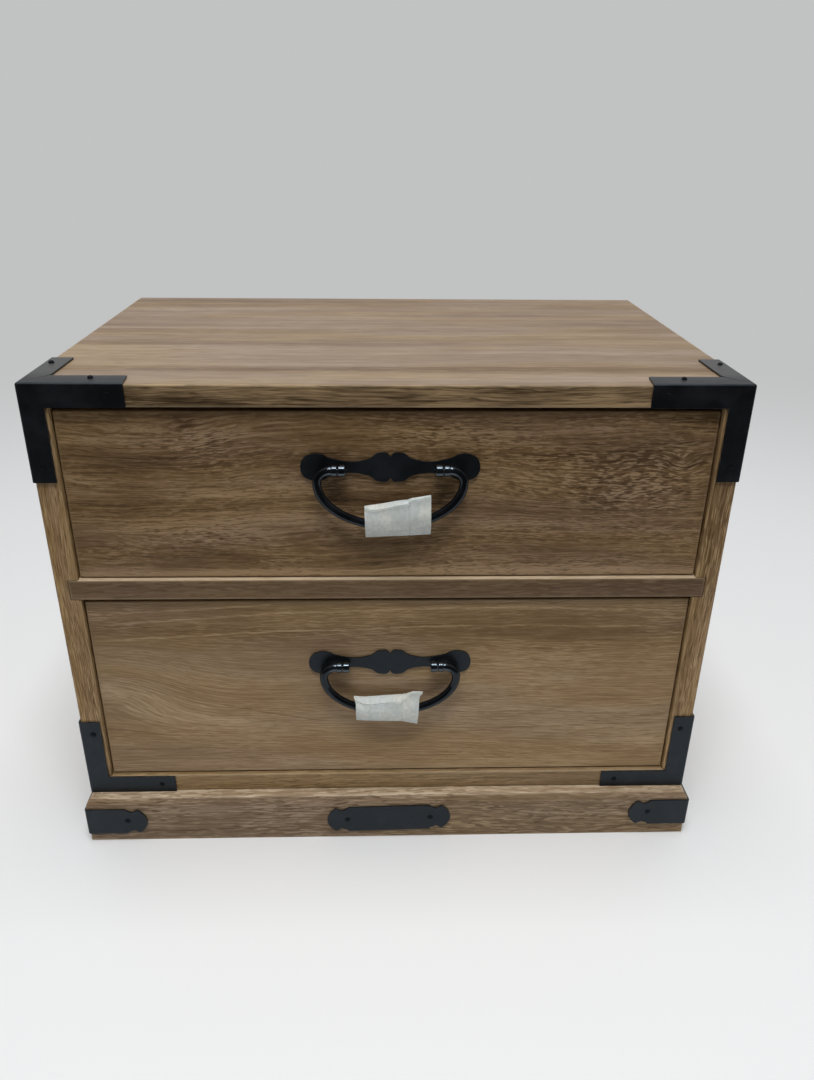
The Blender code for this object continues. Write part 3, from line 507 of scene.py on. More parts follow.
BACK_TONES = ((0.215, 0.140, 0.075), (0.300, 0.205, 0.115), (0.390, 0.280, 0.170))
BACK_PIN_INSET = 2.9 * MM
BACK_PIN_FOOT = 5.0 * MM
BACK_PINS_ACROSS = 7
BACK_PINS_UP = 5
PIN_SIZES = {"Head Diameter": 2.3 * MM, "Head Height": 0.25 * MM, "Shank Diameter": 1.0 * MM,
             "Shank Length": 9.0 * MM}
NAIL_SEED = 7

dress_in_wood("back_panel", BACK_TONES, FRONT_TURN, (3.1, 0.4, 0.2), lean=0.2, wander=0.030, line=0.0030,
              shares=(1.6, 0.9, 1.0, 0.7, 0.0), rub=0.2)


def plain(piece):
    """Makes the result of a piece's modifiers its plain mesh."""
    graph = bpy.context.evaluated_depsgraph_get()
    mesh = bpy.data.meshes.new_from_object(piece.evaluated_get(graph), preserve_all_data_layers=True,
                                           depsgraph=graph)
    piece.modifiers.clear()
    old = piece.data
    piece.data = mesh
    bpy.data.meshes.remove(old)
    mesh.name = piece.name
    return piece


def grown(piece, tree, values):
    """Runs a Geometry Nodes tree on a piece, with its named inputs set, and keeps the result."""
    step = piece.modifiers.new(tree.name, "NODES")
    step.node_group = tree
    for socket in tree.interface.items_tree:
        if socket.in_out == "INPUT" and socket.name in values:
            step[socket.identifier] = values[socket.name]
    return plain(piece)


def finished(geometry, look):
    """The last nodes of a maker: real geometry with an even shading and its finish."""
    tree = geometry.id_data
    real = node(tree, "GeometryNodeRealizeInstances", {"Geometry": geometry})
    even = node(tree, "GeometryNodeSetShadeSmooth", {"Geometry": real.outputs[0]})
    return node(tree, "GeometryNodeSetMaterial", {"Geometry": even.outputs[0], "Material": look}).outputs[0]


def make_driven_nails():
    """A nail at each guide point: a low dome with a shank behind it, facing as the point says."""
    tree, given, result = new_group("driven_nails", {
        "Geometry": "Guide", "Float": "Head Diameter, Head Height, Shank Diameter, Shank Length",
        "Int": "Seed", "Material": "Finish"}, {"Geometry": "Made"}, "Geometry")
    ball = node(tree, "GeometryNodeMeshUVSphere", {"Segments": 20, "Rings": 12, "Radius": 1.0})
    x, y, z = parts_of(node(tree, "GeometryNodeInputPosition").outputs[0])
    head = calc("GREATER_THAN", z, -0.001)
    wider = calc("MULTIPLY", head, calc("SUBTRACT", given["Head Diameter"], given["Shank Diameter"]))
    radius = calc("MULTIPLY", calc("ADD", wider, given["Shank Diameter"]), 0.5)
    dome = calc("MULTIPLY", calc("POWER", calc("MAXIMUM", z, 0.0), 0.8), given["Head Height"])
    rise = calc("MULTIPLY_ADD", calc("MINIMUM", z, 0.0), given["Shank Length"], dome)
    spot = joined(calc("MULTIPLY", x, radius), calc("MULTIPLY", y, radius), rise)
    nail = node(tree, "GeometryNodeSetPosition", {"Geometry": ball.outputs["Mesh"], "Position": spot})
    facing = node(tree, "GeometryNodeInputNamedAttribute", {"Name": "facing"}, data_type="FLOAT_VECTOR")
    turn = node(tree, "FunctionNodeAlignRotationToVector", {"Vector": facing.outputs[0]}, axis="Z")
    uneven = node(tree, "FunctionNodeRandomValue", {2: 0.93, 3: 1.07, "Seed": given["Seed"]},
                  data_type="FLOAT")
    rows = node(tree, "GeometryNodeInstanceOnPoints", {
        "Points": given["Guide"], "Instance": nail.outputs[0], "Rotation": turn.outputs[0],
        "Scale": uneven.outputs[1]})
    feed(result, Made=finished(rows.outputs[0], given["Finish"]))
    return tree


driven_nails = make_driven_nails()


def nailed(name, nails, sizes, look, body):
    """A set of nails on one body, each given by its place on the surface and the way that it faces."""
    mesh = bpy.data.meshes.new(name)
    mesh.from_pydata([place for place, way in nails], [], [])
    facing = mesh.attributes.new("facing", "FLOAT_VECTOR", "POINT")
    facing.data.foreach_set("vector", [value for place, way in nails for value in way])
    piece = grown(new_piece(name, mesh), driven_nails, {**sizes, "Seed": NAIL_SEED, "Finish": look})
    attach(piece, body)
    return piece


def make_plated_skin():
    """Dull plating on small steel: cloudy tone and fine scratches."""
    group, given, result = new_group("plated_skin", {"Vector": "Vector", "Color": "Bright, Dull"},
                                     {"Color": "Colour", "Float": "Roughness, Height"})
    haze = cloud(given["Vector"], 420.0, 4.0, 0.6)
    scratch = cloud(given["Vector"], (400.0, 2600.0, 5200.0))
    feed(result, Colour=mixed(ramp(haze, 0.35, 0.7), given["Bright"], given["Dull"]),
         Roughness=calc("MULTIPLY_ADD", haze, 0.3, 0.18),
         Height=calc("MULTIPLY_ADD", scratch, 0.6, calc("MULTIPLY", haze, 0.4)))
    return group


plated_skin = make_plated_skin()


def plated_finish(name, bright, dull):
    look, tree, shader = new_finish(name, Metallic=1.0)
    skin = grouped(plated_skin, {"Vector": object_spot(tree), "Bright": rgba(bright), "Dull": rgba(dull)})
    feed(shader.inputs, Base_Color=skin["Colour"], Roughness=skin["Roughness"],
         Normal=bumped(skin["Height"], 0.3, 0.03 * MM))
    return look


pin_steel = plated_finish("pin_steel", (0.58, 0.56, 0.52), (0.36, 0.34, 0.31))
back_low, back_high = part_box("back_panel")
back_pins = []
for i in range(BACK_PINS_ACROSS):
    share = i / (BACK_PINS_ACROSS - 1)
    x = (back_low.x + BACK_PIN_INSET) * (1 - share) + (back_high.x - BACK_PIN_INSET) * share
    for z in (back_low.z + BACK_PIN_FOOT, back_high.z - BACK_PIN_INSET):
        back_pins.append(((x, back_high.y, z), (0, 1, 0)))
for i in range(1, BACK_PINS_UP):
    z = back_low.z + (back_high.z - back_low.z) * i / BACK_PINS_UP
    for x in (back_low.x + BACK_PIN_INSET, back_high.x - BACK_PIN_INSET):
        back_pins.append(((x, back_high.y, z), (0, 1, 0)))
nailed("back_panel_pins", back_pins, PIN_SIZES, pin_steel, "case")


# The plinth: four lengths of the same brown wood with a rounded upper edge, mitred at the front corners
# and glued under the case.

PLINTH_TONES = ((0.110, 0.066, 0.032), (0.215, 0.144, 0.080), (0.389, 0.286, 0.179))
# The plinth's upper edge, the ledge in front of the case, gets paler tones: painted light, as if it took
# the lamp's full light.
PLINTH_LIT_EDGE_TONES = ((0.286, 0.198, 0.116), (0.616, 0.490, 0.347))
for plinth_board, turn, log_place in (("plinth_front", FRONT_TURN, (2.2, 0.7, 0.3)),
                                      ("plinth_left", RETURN_TURN, (2.6, 0.3, 1.1)),
                                      ("plinth_right", RETURN_TURN, (2.9, 0.8, 1.1)),
                                      ("plinth_back", FRONT_TURN, (3.3, 1.3, 0.1))):
    dress_in_wood(plinth_board, PLINTH_TONES, turn, log_place, ripple=0.0022,
                  shares=(1.0, 0.5, 1.1, 1.3, 0.0), edge_tones=PLINTH_LIT_EDGE_TONES)


# The corner irons: sheet iron cut flat, folded round the front corners of the case and lacquered black.
# The upper pair also fold over the top, where a slit between the two flaps closes to a mitre. Small
# round-headed nails hold them.

IRON_SHEET = 0.9 * MM
IRON_FOLD = 1.2 * MM
IRON_RIM = 0.2 * MM
IRON_LEG = 50.0 * MM
IRON_WIDTH = 11.9 * MM
IRON_FLANGE = 14.2 * MM
UPPER_IRON_HEIGHT = 12.0 * MM
LOWER_IRON_HEIGHT = 10.9 * MM
SLIT_HALVES = {"left": 0.08 * MM, "right": 0.19 * MM}
FLAP_SLANT = 1.4 * MM
SLIT_TIP = 2.8 * MM
FLAP_ROUND = 3.4 * MM
RIM_ANGLE = math.radians(50)
EVEN_WEIGHT = 100
FOLD_STEPS = 4
FLAP_STEPS = 6
LACQUER_BLACK = (0.0033, 0.0037, 0.0045)
LACQUER_DUST = (0.0108, 0.0115, 0.0138)
# Flat tops of the irons behind the front edge are paler: settled dust and a painted sheen of the pale room.
FLAT_DUST_AND_SHEEN = (0.0520, 0.0510, 0.0460)
DUST_AND_SHEEN_START = -106.0 * MM
DUST_AND_SHEEN_FULL = -90.0 * MM
LACQUER_WORN = (0.0600, 0.0560, 0.0500)
LACQUER_SHEEN = (0.69, 0.85, 1.00)
NAIL_SIZES = {"Head Diameter": 3.2 * MM, "Head Height": 0.45 * MM, "Shank Diameter": 1.3 * MM,
              "Shank Length": 8.0 * MM}
TOP_NAIL_SIZES = {**NAIL_SIZES, "Head Diameter": 2.8 * MM, "Head Height": 1.25 * MM}


def make_lacquer_skin():
    """Black lacquer on iron: a faint orange-peel skin, thin dust, dust and a painted sheen where it lies
    flat, and metal that shows at a rubbed rim.
    """
    group, given, result = new_group("lacquer_skin", {
        "Vector": "Vector", "Float": "Rim, Settled, Sheen", "Color": "Black, Dust, Settled Dust, Worn"},
        {"Color": "Colour", "Float": "Roughness, Height"})
    haze = cloud(given["Vector"], 85.0, 4.0, 0.6)
    peel = cloud(given["Vector"], 900.0)
    chips = cloud(given["Vector"], 240.0, 3.0, 0.65)
    worn = calc("MULTIPLY", given["Rim"], ramp(chips, 0.5, 0.64))
    dusty = mixed(ramp(haze, 0.4, 0.75), given["Black"], given["Dust"])
    # Where the piece lies flat it grows paler: settled dust together with a painted sheen.
    lying_dust_and_sheen = calc("MULTIPLY", given["Settled"], ramp(haze, 0.25, 0.65, 0.6, 1.0))
    dusty = mixed(lying_dust_and_sheen, dusty, given["Settled Dust"])
    rough = calc("MULTIPLY_ADD", calc("SUBTRACT", haze, 0.5), 0.25, given["Sheen"])
    feed(result, Colour=mixed(worn, dusty, given["Worn"]), Height=calc("MULTIPLY_ADD", peel, 0.3, chips),
         Roughness=calc("MULTIPLY_ADD", worn, 0.15, rough))
    return group


lacquer_skin = make_lacquer_skin()


def lacquer_finish(name, sheen, gloss, relief, dust_and_sheen=False, polish=0.0):
    """The finish of one kind of iron part.

    Parts given dust and sheen are paler where they lie flat, behind the front edge: settled dust and a
    painted sheen of the pale room. Polish is what rubbed places add to the gloss.
    """
    look, tree, shader = new_finish(name, Specular_IOR_Level=gloss, Specular_Tint=rgba(LACQUER_SHEEN))
    spot = object_spot(tree)
    rim = node(tree, "ShaderNodeAttribute", attribute_name="rim").outputs["Fac"]
    flat_dust_and_sheen = 0.0
    # Painted sheen with settled dust: paler on faces that lie flat, behind the front edge.
    if dust_and_sheen:
        level = parts_of(node(tree, "ShaderNodeNewGeometry").outputs["Normal"])[2]
        behind = ramp(parts_of(spot)[1], DUST_AND_SHEEN_START, DUST_AND_SHEEN_FULL)
        flat_dust_and_sheen = calc("MULTIPLY", ramp(level, 0.80, 0.97), behind)
    skin = grouped(lacquer_skin, {
        "Vector": spot, "Rim": rim, "Settled": flat_dust_and_sheen, "Sheen": sheen, "Black": rgba(LACQUER_BLACK),
        "Dust": rgba(LACQUER_DUST), "Settled Dust": rgba(FLAT_DUST_AND_SHEEN), "Worn": rgba(LACQUER_WORN)})
    feed(shader.inputs, Base_Color=skin["Colour"], Roughness=skin["Roughness"],
         Normal=bumped(skin["Height"], 0.5, relief))
    if polish:
        rubbed = node(tree, "ShaderNodeAttribute", attribute_name="rubbed").outputs["Fac"]
        feed(shader.inputs, Specular_IOR_Level=calc("MULTIPLY_ADD", rubbed, polish, gloss))
    return look


iron_lacquer = lacquer_finish("iron_lacquer", 0.40, 0.40, 0.10 * MM, dust_and_sheen=True)
nail_lacquer = lacquer_finish("nail_lacquer", 0.60, 0.16, 0.05 * MM)


def soften_rim(piece):
    """Rounds the cut edges of a sheet and marks them for the finish; flat faces keep an even sheen."""
    bm = bmesh.new()
    bm.from_mesh(piece.data)
    rim = bm.faces.layers.float.new("rim")
    cut = [edge for edge in bm.edges if len(edge.link_faces) == 2 and edge.calc_face_angle() > RIM_ANGLE]
    made = bmesh.ops.bevel(bm, geom=cut, offset=IRON_RIM, offset_type="OFFSET", segments=2, profile=0.5,
                           affect="EDGES", clamp_overlap=True)
    for face in made["faces"]:
        face[rim] = 1.0
    bm.to_mesh(piece.data)
    bm.free()
    piece.data.shade_smooth()
    even = piece.modifiers.new("even_sheen", "WEIGHTED_NORMAL")
    even.weight = EVEN_WEIGHT
    return plain(piece)


def folded_sheet(name, panels, place, look):
    """A piece of sheet iron from flat panels, each with its outward way, folded where they meet."""
    bm = bmesh.new()
    corners = {}
    origin = place((0, 0, 0))
    for points, outward in panels:
        ring = []
        for point in points:
            key = tuple(round(value / MM, 3) for value in point)
            if key not in corners:
                corners[key] = bm.verts.new(place(point))
            ring.append(corners[key])
        face = bm.faces.new(ring)
        face.normal_update()
        if face.normal.dot(place(outward) - origin) < 0:
            face.normal_flip()
    folds = [edge for edge in bm.edges if len(edge.link_faces) == 2]
    if folds:
        bmesh.ops.bevel(bm, geom=folds, offset=IRON_FOLD, offset_type="OFFSET", segments=FOLD_STEPS,
                        profile=0.5, affect="EDGES")
    piece = new_piece(name, mesh_of(bm, name), look)
    thick = piece.modifiers.new("sheet", "SOLIDIFY")
    thick.thickness = IRON_SHEET
    thick.offset = -1
    thick.use_even_offset = True
    return plain(piece)


def flap_outline(slit_half):
    """The two flaps over the top with their slit, by distances across and back from the corner."""
    inner = Vector((IRON_WIDTH, IRON_FLANGE))
    way = inner.normalized()
    aside = Vector((-way.y, way.x)) * slit_half
    turn = inner + aside
    start = turn - way * FLAP_ROUND
    end = Vector((IRON_WIDTH, IRON_FLANGE + FLAP_ROUND))
    rounded = []
    for step in range(FLAP_STEPS + 1):
        share = step / FLAP_STEPS
        rounded.append(start * (1 - share) ** 2 + turn * (2 * share * (1 - share)) + end * share ** 2)
    outline = [Vector((0, 0)), Vector((IRON_LEG, 0)), Vector((IRON_LEG - FLAP_SLANT, IRON_FLANGE)),
               Vector((IRON_WIDTH + 2 * slit_half, IRON_FLANGE)), way * SLIT_TIP]
    return outline + rounded + [Vector((IRON_WIDTH, IRON_LEG)), Vector((0, IRON_LEG))]


def corner_panels(height, slit_half=None):
    """The flat panels of a corner iron, by distances across, back and along Z from its outer corner."""
    leg, width, back = IRON_LEG, IRON_WIDTH, IRON_FLANGE
    front = [(0, 0, 0), (leg, 0, 0), (leg, 0, height), (width, 0, height), (width, 0, leg), (0, 0, leg)]
    side = [(0, 0, 0), (0, 0, leg), (0, back, leg), (0, back, height), (0, leg, height), (0, leg, 0)]
    panels = [(front, (0, -1, 0)), (side, (-1, 0, 0))]
    if slit_half is not None:
        panels.append(([(a, b, 0) for a, b in flap_outline(slit_half)], (0, 0, -1)))
    return panels


def corner_frame(side, corner, up):
    """Turns distances across, back and along Z from an outer corner into a place."""
    def place(point):
        across, back, along = point
        return Vector((corner[0] - side * across, corner[1] + back, corner[2] + up * along))
    return place


HANDS = ((-1, "left"), (1, "right"))
case_nails = []
top_nails = []

# Each nail is its distances in millimetres across, back and along Z from the iron's outer corner.
UPPER_NAILS = ((6.4, 0, 41.5), (42.3, 0, 5.9), (0, 6.8, 41.5), (0, 42.3, 5.9), (4.5, 38.5, 0),
               (32.5, 9.6, 0))
LOWER_NAILS = ((7.4, 0, 41.7), (42.0, 0, 5.5), (0, 6.8, 41.7), (0, 42.0, 5.5))


def drive(place, side, up, spots):
    """Adds the nails of an iron; each faces away from the panel that it is driven through."""
    for across, back, along in spots:
        way = (0, -1, 0) if back == 0 else (side, 0, 0) if across == 0 else (0, 0, -up)
        nails = top_nails if along == 0 else case_nails
        nails.append((place((across * MM, back * MM, along * MM)), way))


for side, hand in HANDS:
    for level, up, height in (("upper", -1, UPPER_IRON_HEIGHT), ("lower", 1, LOWER_IRON_HEIGHT)):
        node_name = f"{level}_{hand}_corner_iron"
        low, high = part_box(node_name)
        corner = (low.x if side < 0 else high.x, low.y, high.z if up < 0 else low.z)
        place = corner_frame(side, corner, up)
        panels = corner_panels(height, SLIT_HALVES[hand] if up < 0 else None)
        iron = folded_sheet(f"{level}_{hand}_folded_iron", panels, place, iron_lacquer)
        soften_rim(iron)
        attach(iron, "case")
        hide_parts(node_name)
        drive(place, side, up, UPPER_NAILS if up < 0 else LOWER_NAILS)


# The plinth's irons: a shaped plate bent round each front corner and a flat one in the middle, of the same
# lacquered sheet. Their ends are cut to a waist with a sharp nick and a rounded bulb.

PLATE_HALF_HEIGHT = 8.9 * MM
PLATE_END_HALF_HEIGHT = 8.1 * MM
PLATE_WAIST_HALF_HEIGHT = 6.5 * MM
PLATE_SHOULDER = 12.5 * MM
PLATE_WAIST = 8.0 * MM
PLATE_BULB = 4.5 * MM
PLATE_DIP_ALONG = 0.6 * MM
PLATE_DIP_DEEP = 1.4 * MM
OUTLINE_STEPS = 10
PLATE_SHIFTS = {"left": -0.4 * MM, "right": 1.5 * MM}
PLINTH_NAILS = ((24.1, 0, 0.6), (0, 24.1, 0.6))
MIDDLE_ASIDE = -0.6 * MM
MIDDLE_DROP = 0.5 * MM
MIDDLE_TILT = 0.022
MIDDLE_NAILS = ((-24.4, 0, -0.5), (24.4, 0, 0.5))


def smooth_outline(knots):
    """Points along a smooth curve through (across, up) knots; the two ends of the run are corners."""
    points = [Vector((across, up, 0)) for across, up in knots]
    ways = [Vector((0, 0, 0))]
    ways += [(after - before).normalized() for before, after in zip(points, points[2:])]
    ways.append(Vector((0, 0, 0)))
    run = [points[0]]
    for i in range(len(points) - 1):
        pull = (points[i + 1] - points[i]).length / 3
        curve = interpolate_bezier(points[i], points[i] + ways[i] * pull,
                                   points[i + 1] - ways[i + 1] * pull, points[i + 1], OUTLINE_STEPS + 1)
        run += curve[1:]
    return [(point.x, point.y) for point in run]


def plate_end(length):
    """Half of a plate's outline: from its middle over the shoulder, waist and bulb and back underneath."""
    shoulder = (length - PLATE_SHOULDER, PLATE_HALF_HEIGHT)
    dip = (length - (PLATE_SHOULDER + PLATE_WAIST) / 2 - PLATE_DIP_ALONG,
           PLATE_HALF_HEIGHT - PLATE_DIP_DEEP)
    waist = (length - PLATE_WAIST, PLATE_WAIST_HALF_HEIGHT)
    bulb = (length - PLATE_BULB, PLATE_END_HALF_HEIGHT)
    neck = smooth_outline([shoulder, dip, waist])
    tip = smooth_outline([waist, bulb, (length, 0.0), (bulb[0], -bulb[1]), (waist[0], -waist[1])])
    under = [(across, -up) for across, up in reversed(neck)]
    return [(0.0, PLATE_HALF_HEIGHT)] + neck + tip[1:-1] + under + [(0.0, -PLATE_HALF_HEIGHT)]


for side, hand in HANDS:
    node_name = f"plinth_{hand}_corner_iron"
    low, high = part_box(node_name)
    middle = (low.z + high.z) / 2
    corner = (low.x if side < 0 else high.x, low.y, middle + PLATE_SHIFTS[hand])
    outline = plate_end(high.x - low.x)
    panels = [([(run, 0, up) for run, up in outline], (0, -1, 0)),
              ([(0, run, up) for run, up in outline], (-1, 0, 0))]
    place = corner_frame(side, corner, 1)
    iron = folded_sheet(f"plinth_{hand}_bent_plate", panels, place, iron_lacquer)
    soften_rim(iron)
    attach(iron, "case")
    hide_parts(node_name)
    drive(place, side, 1, PLINTH_NAILS)

low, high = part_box("plinth_centre_plate")
half_outline = plate_end((high.x - low.x) / 2)[1:-1]
outline = half_outline + [(-run, -up) for run, up in half_outline]
tilted = [(run, 0, up + run * MIDDLE_TILT) for run, up in outline]
centre = (MIDDLE_ASIDE, low.y, (low.z + high.z) / 2 - MIDDLE_DROP)
place = corner_frame(-1, centre, 1)
plate = folded_sheet("plinth_middle_plate", [(tilted, (0, -1, 0))], place, iron_lacquer)
soften_rim(plate)
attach(plate, "case")
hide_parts("plinth_centre_plate")
drive(place, -1, 1, MIDDLE_NAILS)
nailed("iron_nails", case_nails, NAIL_SIZES, nail_lacquer, "case")
nailed("top_iron_nails", top_nails, TOP_NAIL_SIZES, nail_lacquer, "case")


# The drawer fronts: wider boards of the case wood. The upper one is cut near a knot, so its lines break
# into dashes that cross at the right; the lower one is calm, with arcs at the left and long pale streaks
# above.

UPPER_FRONT_TONES = ((0.072, 0.039, 0.015), (0.216, 0.131, 0.060), (0.440, 0.302, 0.168))
LOWER_FRONT_TONES = ((0.182, 0.108, 0.048), (0.314, 0.208, 0.106), (0.506, 0.374, 0.226))
UPPER_EYES = ((145.6, 18, 8, 6, 3.5), (112, 4, 45, 22, 4), (-115, 26, 45, 20, 5),
              (70, -30, 80, 20, -4))
UPPER_STIRS = ((120, 5, 28, 17, 5), (146, 20, 15, 13, 3), (-94, 29, 17, 10, 3.5),
               (20, 35, 28, 7.5, 3.5), (-95, -22, 14, 5, 2), (75, 20, 40, 12, 1.2))
# Among the upper front's shades, the dark places at (-27, 4), (28, 4) and (0, 2) are painted shadow of the
# handle inside its bail's loop, and the one at (25, -24) is painted shadow below the bail and its foam
# wrap.
UPPER_SHADES = ((0, -44.8, 9000, 4.2, 0.75), (-100, 37, 5, 4, -0.30), (-125, -8, 45, 10, -0.10),
                (-58, -13, 22, 6, 0.12), (25, -24, 40, 6, -0.14), (150, 40, 40, 8, -0.15),
                (112, 4, 40, 16, -0.08), (-27, 4, 8, 9, -0.32), (28, 4, 8, 9, -0.32),
                (0, 2, 26, 10, -0.12))
LOWER_EYES = ((-160, 4, 44, 27, -22), (150, -40, 100, 30, 6))
LOWER_STIRS = ((115, 21, 50, 6, 1.2), (-66, -16, 26, 5, 1), (152, 40, 14, 10, 1))
# Among the lower front's shades, the first darkens the board along its top: partly its own darker wood and
# partly painted shade under the divider rail. The last two are painted shadow of the handle inside its
# loop.
LOWER_SHADES = ((0, 44, 9000, 14, -0.34), (110, 33, 70, 5, -0.16), (-110, 29, 55, 3.5, -0.14),
                (0, -57.1, 9000, 1.5, 0.25), (-27, 7, 8, 8, -0.22), (27, 7, 8, 8, -0.22))
LOWER_VEINED = ((-135, 2, 48, 22, 1), (60, 5, 120, 30, 0.25))
LOWER_STREAKS = ((-110, 51.8, 0.058, 0, 58, 1.00, 0.45), (0, 51.3, 0.025, -0.213, 168, 1.05, 0.50),
                 (0, 39.8, 0.022, -0.156, 168, 1.10, 0.55), (150, 45.6, -0.02, 0, 15, 0.90, 0.45),
                 (152, 36.3, -0.04, 0, 13, 0.70, 0.45), (148, 32.8, 0, 0, 15, 0.60, 0.40),
                 (80, -27.5, 0.050, -0.30, 78, 0.80, -0.30), (-77, -40.2, 0, 0, 88, 0.70, -0.22),
                 (-66, -16, -0.20, 0.5, 32, 0.90, -0.35), (46, -7.8, 0.10, 0, 44, 0.70, -0.18),
                 (20, -47, 0.01, 0, 120, 0.70, -0.18))
dress_in_wood("upper_drawer_front", UPPER_FRONT_TONES, FRONT_TURN, (0.4, 0.9, 0.7), wander=0.012,
              ripple=0.0024, line=0.0010, dash=0.0045, shares=(0.9, 0.8, 1.25, 0.60, 0.0), eyes=UPPER_EYES,
              stirs=UPPER_STIRS, shades=UPPER_SHADES, rub=0.4)
dress_in_wood("lower_drawer_front", LOWER_FRONT_TONES, FRONT_TURN, (1.1, 0.3, 2.4), wander=0.005,
              ripple=0.0010, line=0.0009, dash=0.007, pitch=0.006, shares=(0.7, 0.6, 0.9, 0.45, 0.35),
              eyes=LOWER_EYES, stirs=LOWER_STIRS, shades=LOWER_SHADES, streaks=LOWER_STREAKS,
              veined=LOWER_VEINED, rub=0.5)


# The drawer boxes: pale paulownia sides and backs, glued and pinned into the rabbets of the fronts, with
# thin plywood bottoms slid into grooves.

BOX_TONES = ((0.390, 0.275, 0.160), (0.500, 0.375, 0.235), (0.590, 0.465, 0.310))
FLOOR_TONES = ((0.420, 0.310, 0.190), (0.520, 0.400, 0.255), (0.600, 0.480, 0.325))
BOX_GRAIN = {"wander": 0.012, "shares": (1.2, 0.5, 1.0, 0.7, 0.0), "rub": 0.2}
BOX_PIN_SIZES = {"Head Diameter": 1.7 * MM, "Head Height": 0.2 * MM, "Shank Diameter": 0.9 * MM,
                 "Shank Length": 7.0 * MM}
BOX_PIN_ROWS = (0.2, 0.5, 0.8)
BOX_PIN_INSET = 3.4 * MM
for level, shift in (("upper", 0.0), ("lower", 4.0)):
    box_pins = []
    for side, hand in HANDS:
        name = f"{level}_drawer_{hand}_side"
        dress_in_wood(name, BOX_TONES, RETURN_TURN, (shift + side, 0.3, 1.2), **BOX_GRAIN)
        low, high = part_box(name)
        face = low.x if side < 0 else high.x
        for row in BOX_PIN_ROWS:
            for y in (low.y + BOX_PIN_INSET, high.y - BOX_PIN_INSET):
                box_pins.append(((face, y, low.z + (high.z - low.z) * row), (side, 0, 0)))
    dress_in_wood(f"{level}_drawer_back", BOX_TONES, FRONT_TURN, (shift, 2.3, 0.7), **BOX_GRAIN)
    dress_in_wood(f"{level}_drawer_bottom", FLOOR_TONES, TOP_TURN, (shift, 1.6, 2.2), lean=0.2,
                  wander=0.030, line=0.0028, shares=(1.4, 0.8, 0.9, 0.6, 0.0), rub=0.1)
    nailed(f"{level}_drawer_pins", box_pins, BOX_PIN_SIZES, pin_steel, f"{level}_drawer")


# The handle plates: sheet iron cut to a round lobe at each end, two necks and a notched middle, lacquered
# black like the corners. Each is clamped to its drawer front by the two posts that pass through it.

BACKPLATE_LOBE = 7.1 * MM
BACKPLATE_NECK_HALF = 2.9 * MM
BACKPLATE_BULGE_HALF = 7.6 * MM
BACKPLATE_NOTCH = 2.2 * MM
BACKPLATE_NOTCH_LIP = 1.7 * MM
BACKPLATE_CREST = 4.4 * MM
BACKPLATE_ROUND = 7.0 * MM
BACKPLATE_SHOULDER = 10.5 * MM
BACKPLATE_NECK = 19.5 * MM
BACKPLATE_SHELL = 14.5 * MM
POST_SPREAD = 24.0 * MM
POST_HOLE = 2.05 * MM
DRILL_LENGTH = 20.0 * MM
ROUND_SIDES = 36
LEVELS = ("upper", "lower")


def backplate_outline(half):
    """The outline as (across, up): from the notch on top, round the right lobe, and back along the left."""
    lobe, neck, bulge = BACKPLATE_LOBE, BACKPLATE_NECK_HALF, BACKPLATE_BULGE_HALF
    fall = lobe - neck
    swell = bulge - neck
    quarter = [(0.0, bulge - BACKPLATE_NOTCH), (BACKPLATE_NOTCH_LIP, bulge - 0.04 * swell),
               (BACKPLATE_CREST, bulge), (BACKPLATE_ROUND, neck + 0.88 * swell),
               (BACKPLATE_SHOULDER, neck + 0.34 * swell), (BACKPLATE_NECK, neck),
               (half - BACKPLATE_SHELL, neck + 0.45 * fall),
               (half - 0.77 * BACKPLATE_SHELL, lobe - 0.14 * fall), (half - lobe, lobe),
               (half - 0.28 * lobe, 0.72 * lobe), (half, 0.0)]
    right = smooth_outline(quarter + [(across, -up) for across, up in reversed(quarter[:-1])])
    return right[:-1] + [(-across, -up) for across, up in right[:-1]]


def bored(piece, places, radius):
    """Drills holes along Y through a piece."""
    bm = bmesh.new()
    for place in places:
        made = bmesh.ops.create_cone(bm, cap_ends=True, segments=ROUND_SIDES, radius1=radius,
                                     radius2=radius, depth=DRILL_LENGTH)
        bmesh.ops.rotate(bm, matrix=Matrix.Rotation(math.pi / 2, 3, "X"), verts=made["verts"])
        bmesh.ops.translate(bm, vec=place, verts=made["verts"])
    drill = new_piece("drill", mesh_of(bm, "drill", False))
    cut = piece.modifiers.new("holes", "BOOLEAN")
    cut.object = drill
    plain(piece)
    bpy.data.meshes.remove(drill.data)
    return piece


handle_heights = {}
for level in LEVELS:
    node_name = f"{level}_handle_backplate"
    low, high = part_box(node_name)
    handle_heights[level] = (low.z + high.z) / 2
    centre = (0.0, low.y, handle_heights[level])
    outline = backplate_outline(high.x)
    plate = folded_sheet(f"{level}_shaped_plate", [([(run, 0, up) for run, up in outline], (0, -1, 0))],
                         corner_frame(-1, centre, 1), iron_lacquer)
    bored(plate, [(side * POST_SPREAD, low.y, centre[2]) for side, hand in HANDS], POST_HOLE)
    soften_rim(plate)
    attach(plate, f"{level}_drawer")
    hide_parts(node_name)


# The posts: turned black studs with a washer-like flange and a bored cross head for the bail's pin. Their
# threaded ends pass through the drawer front and take a plated hexagon nut behind it.

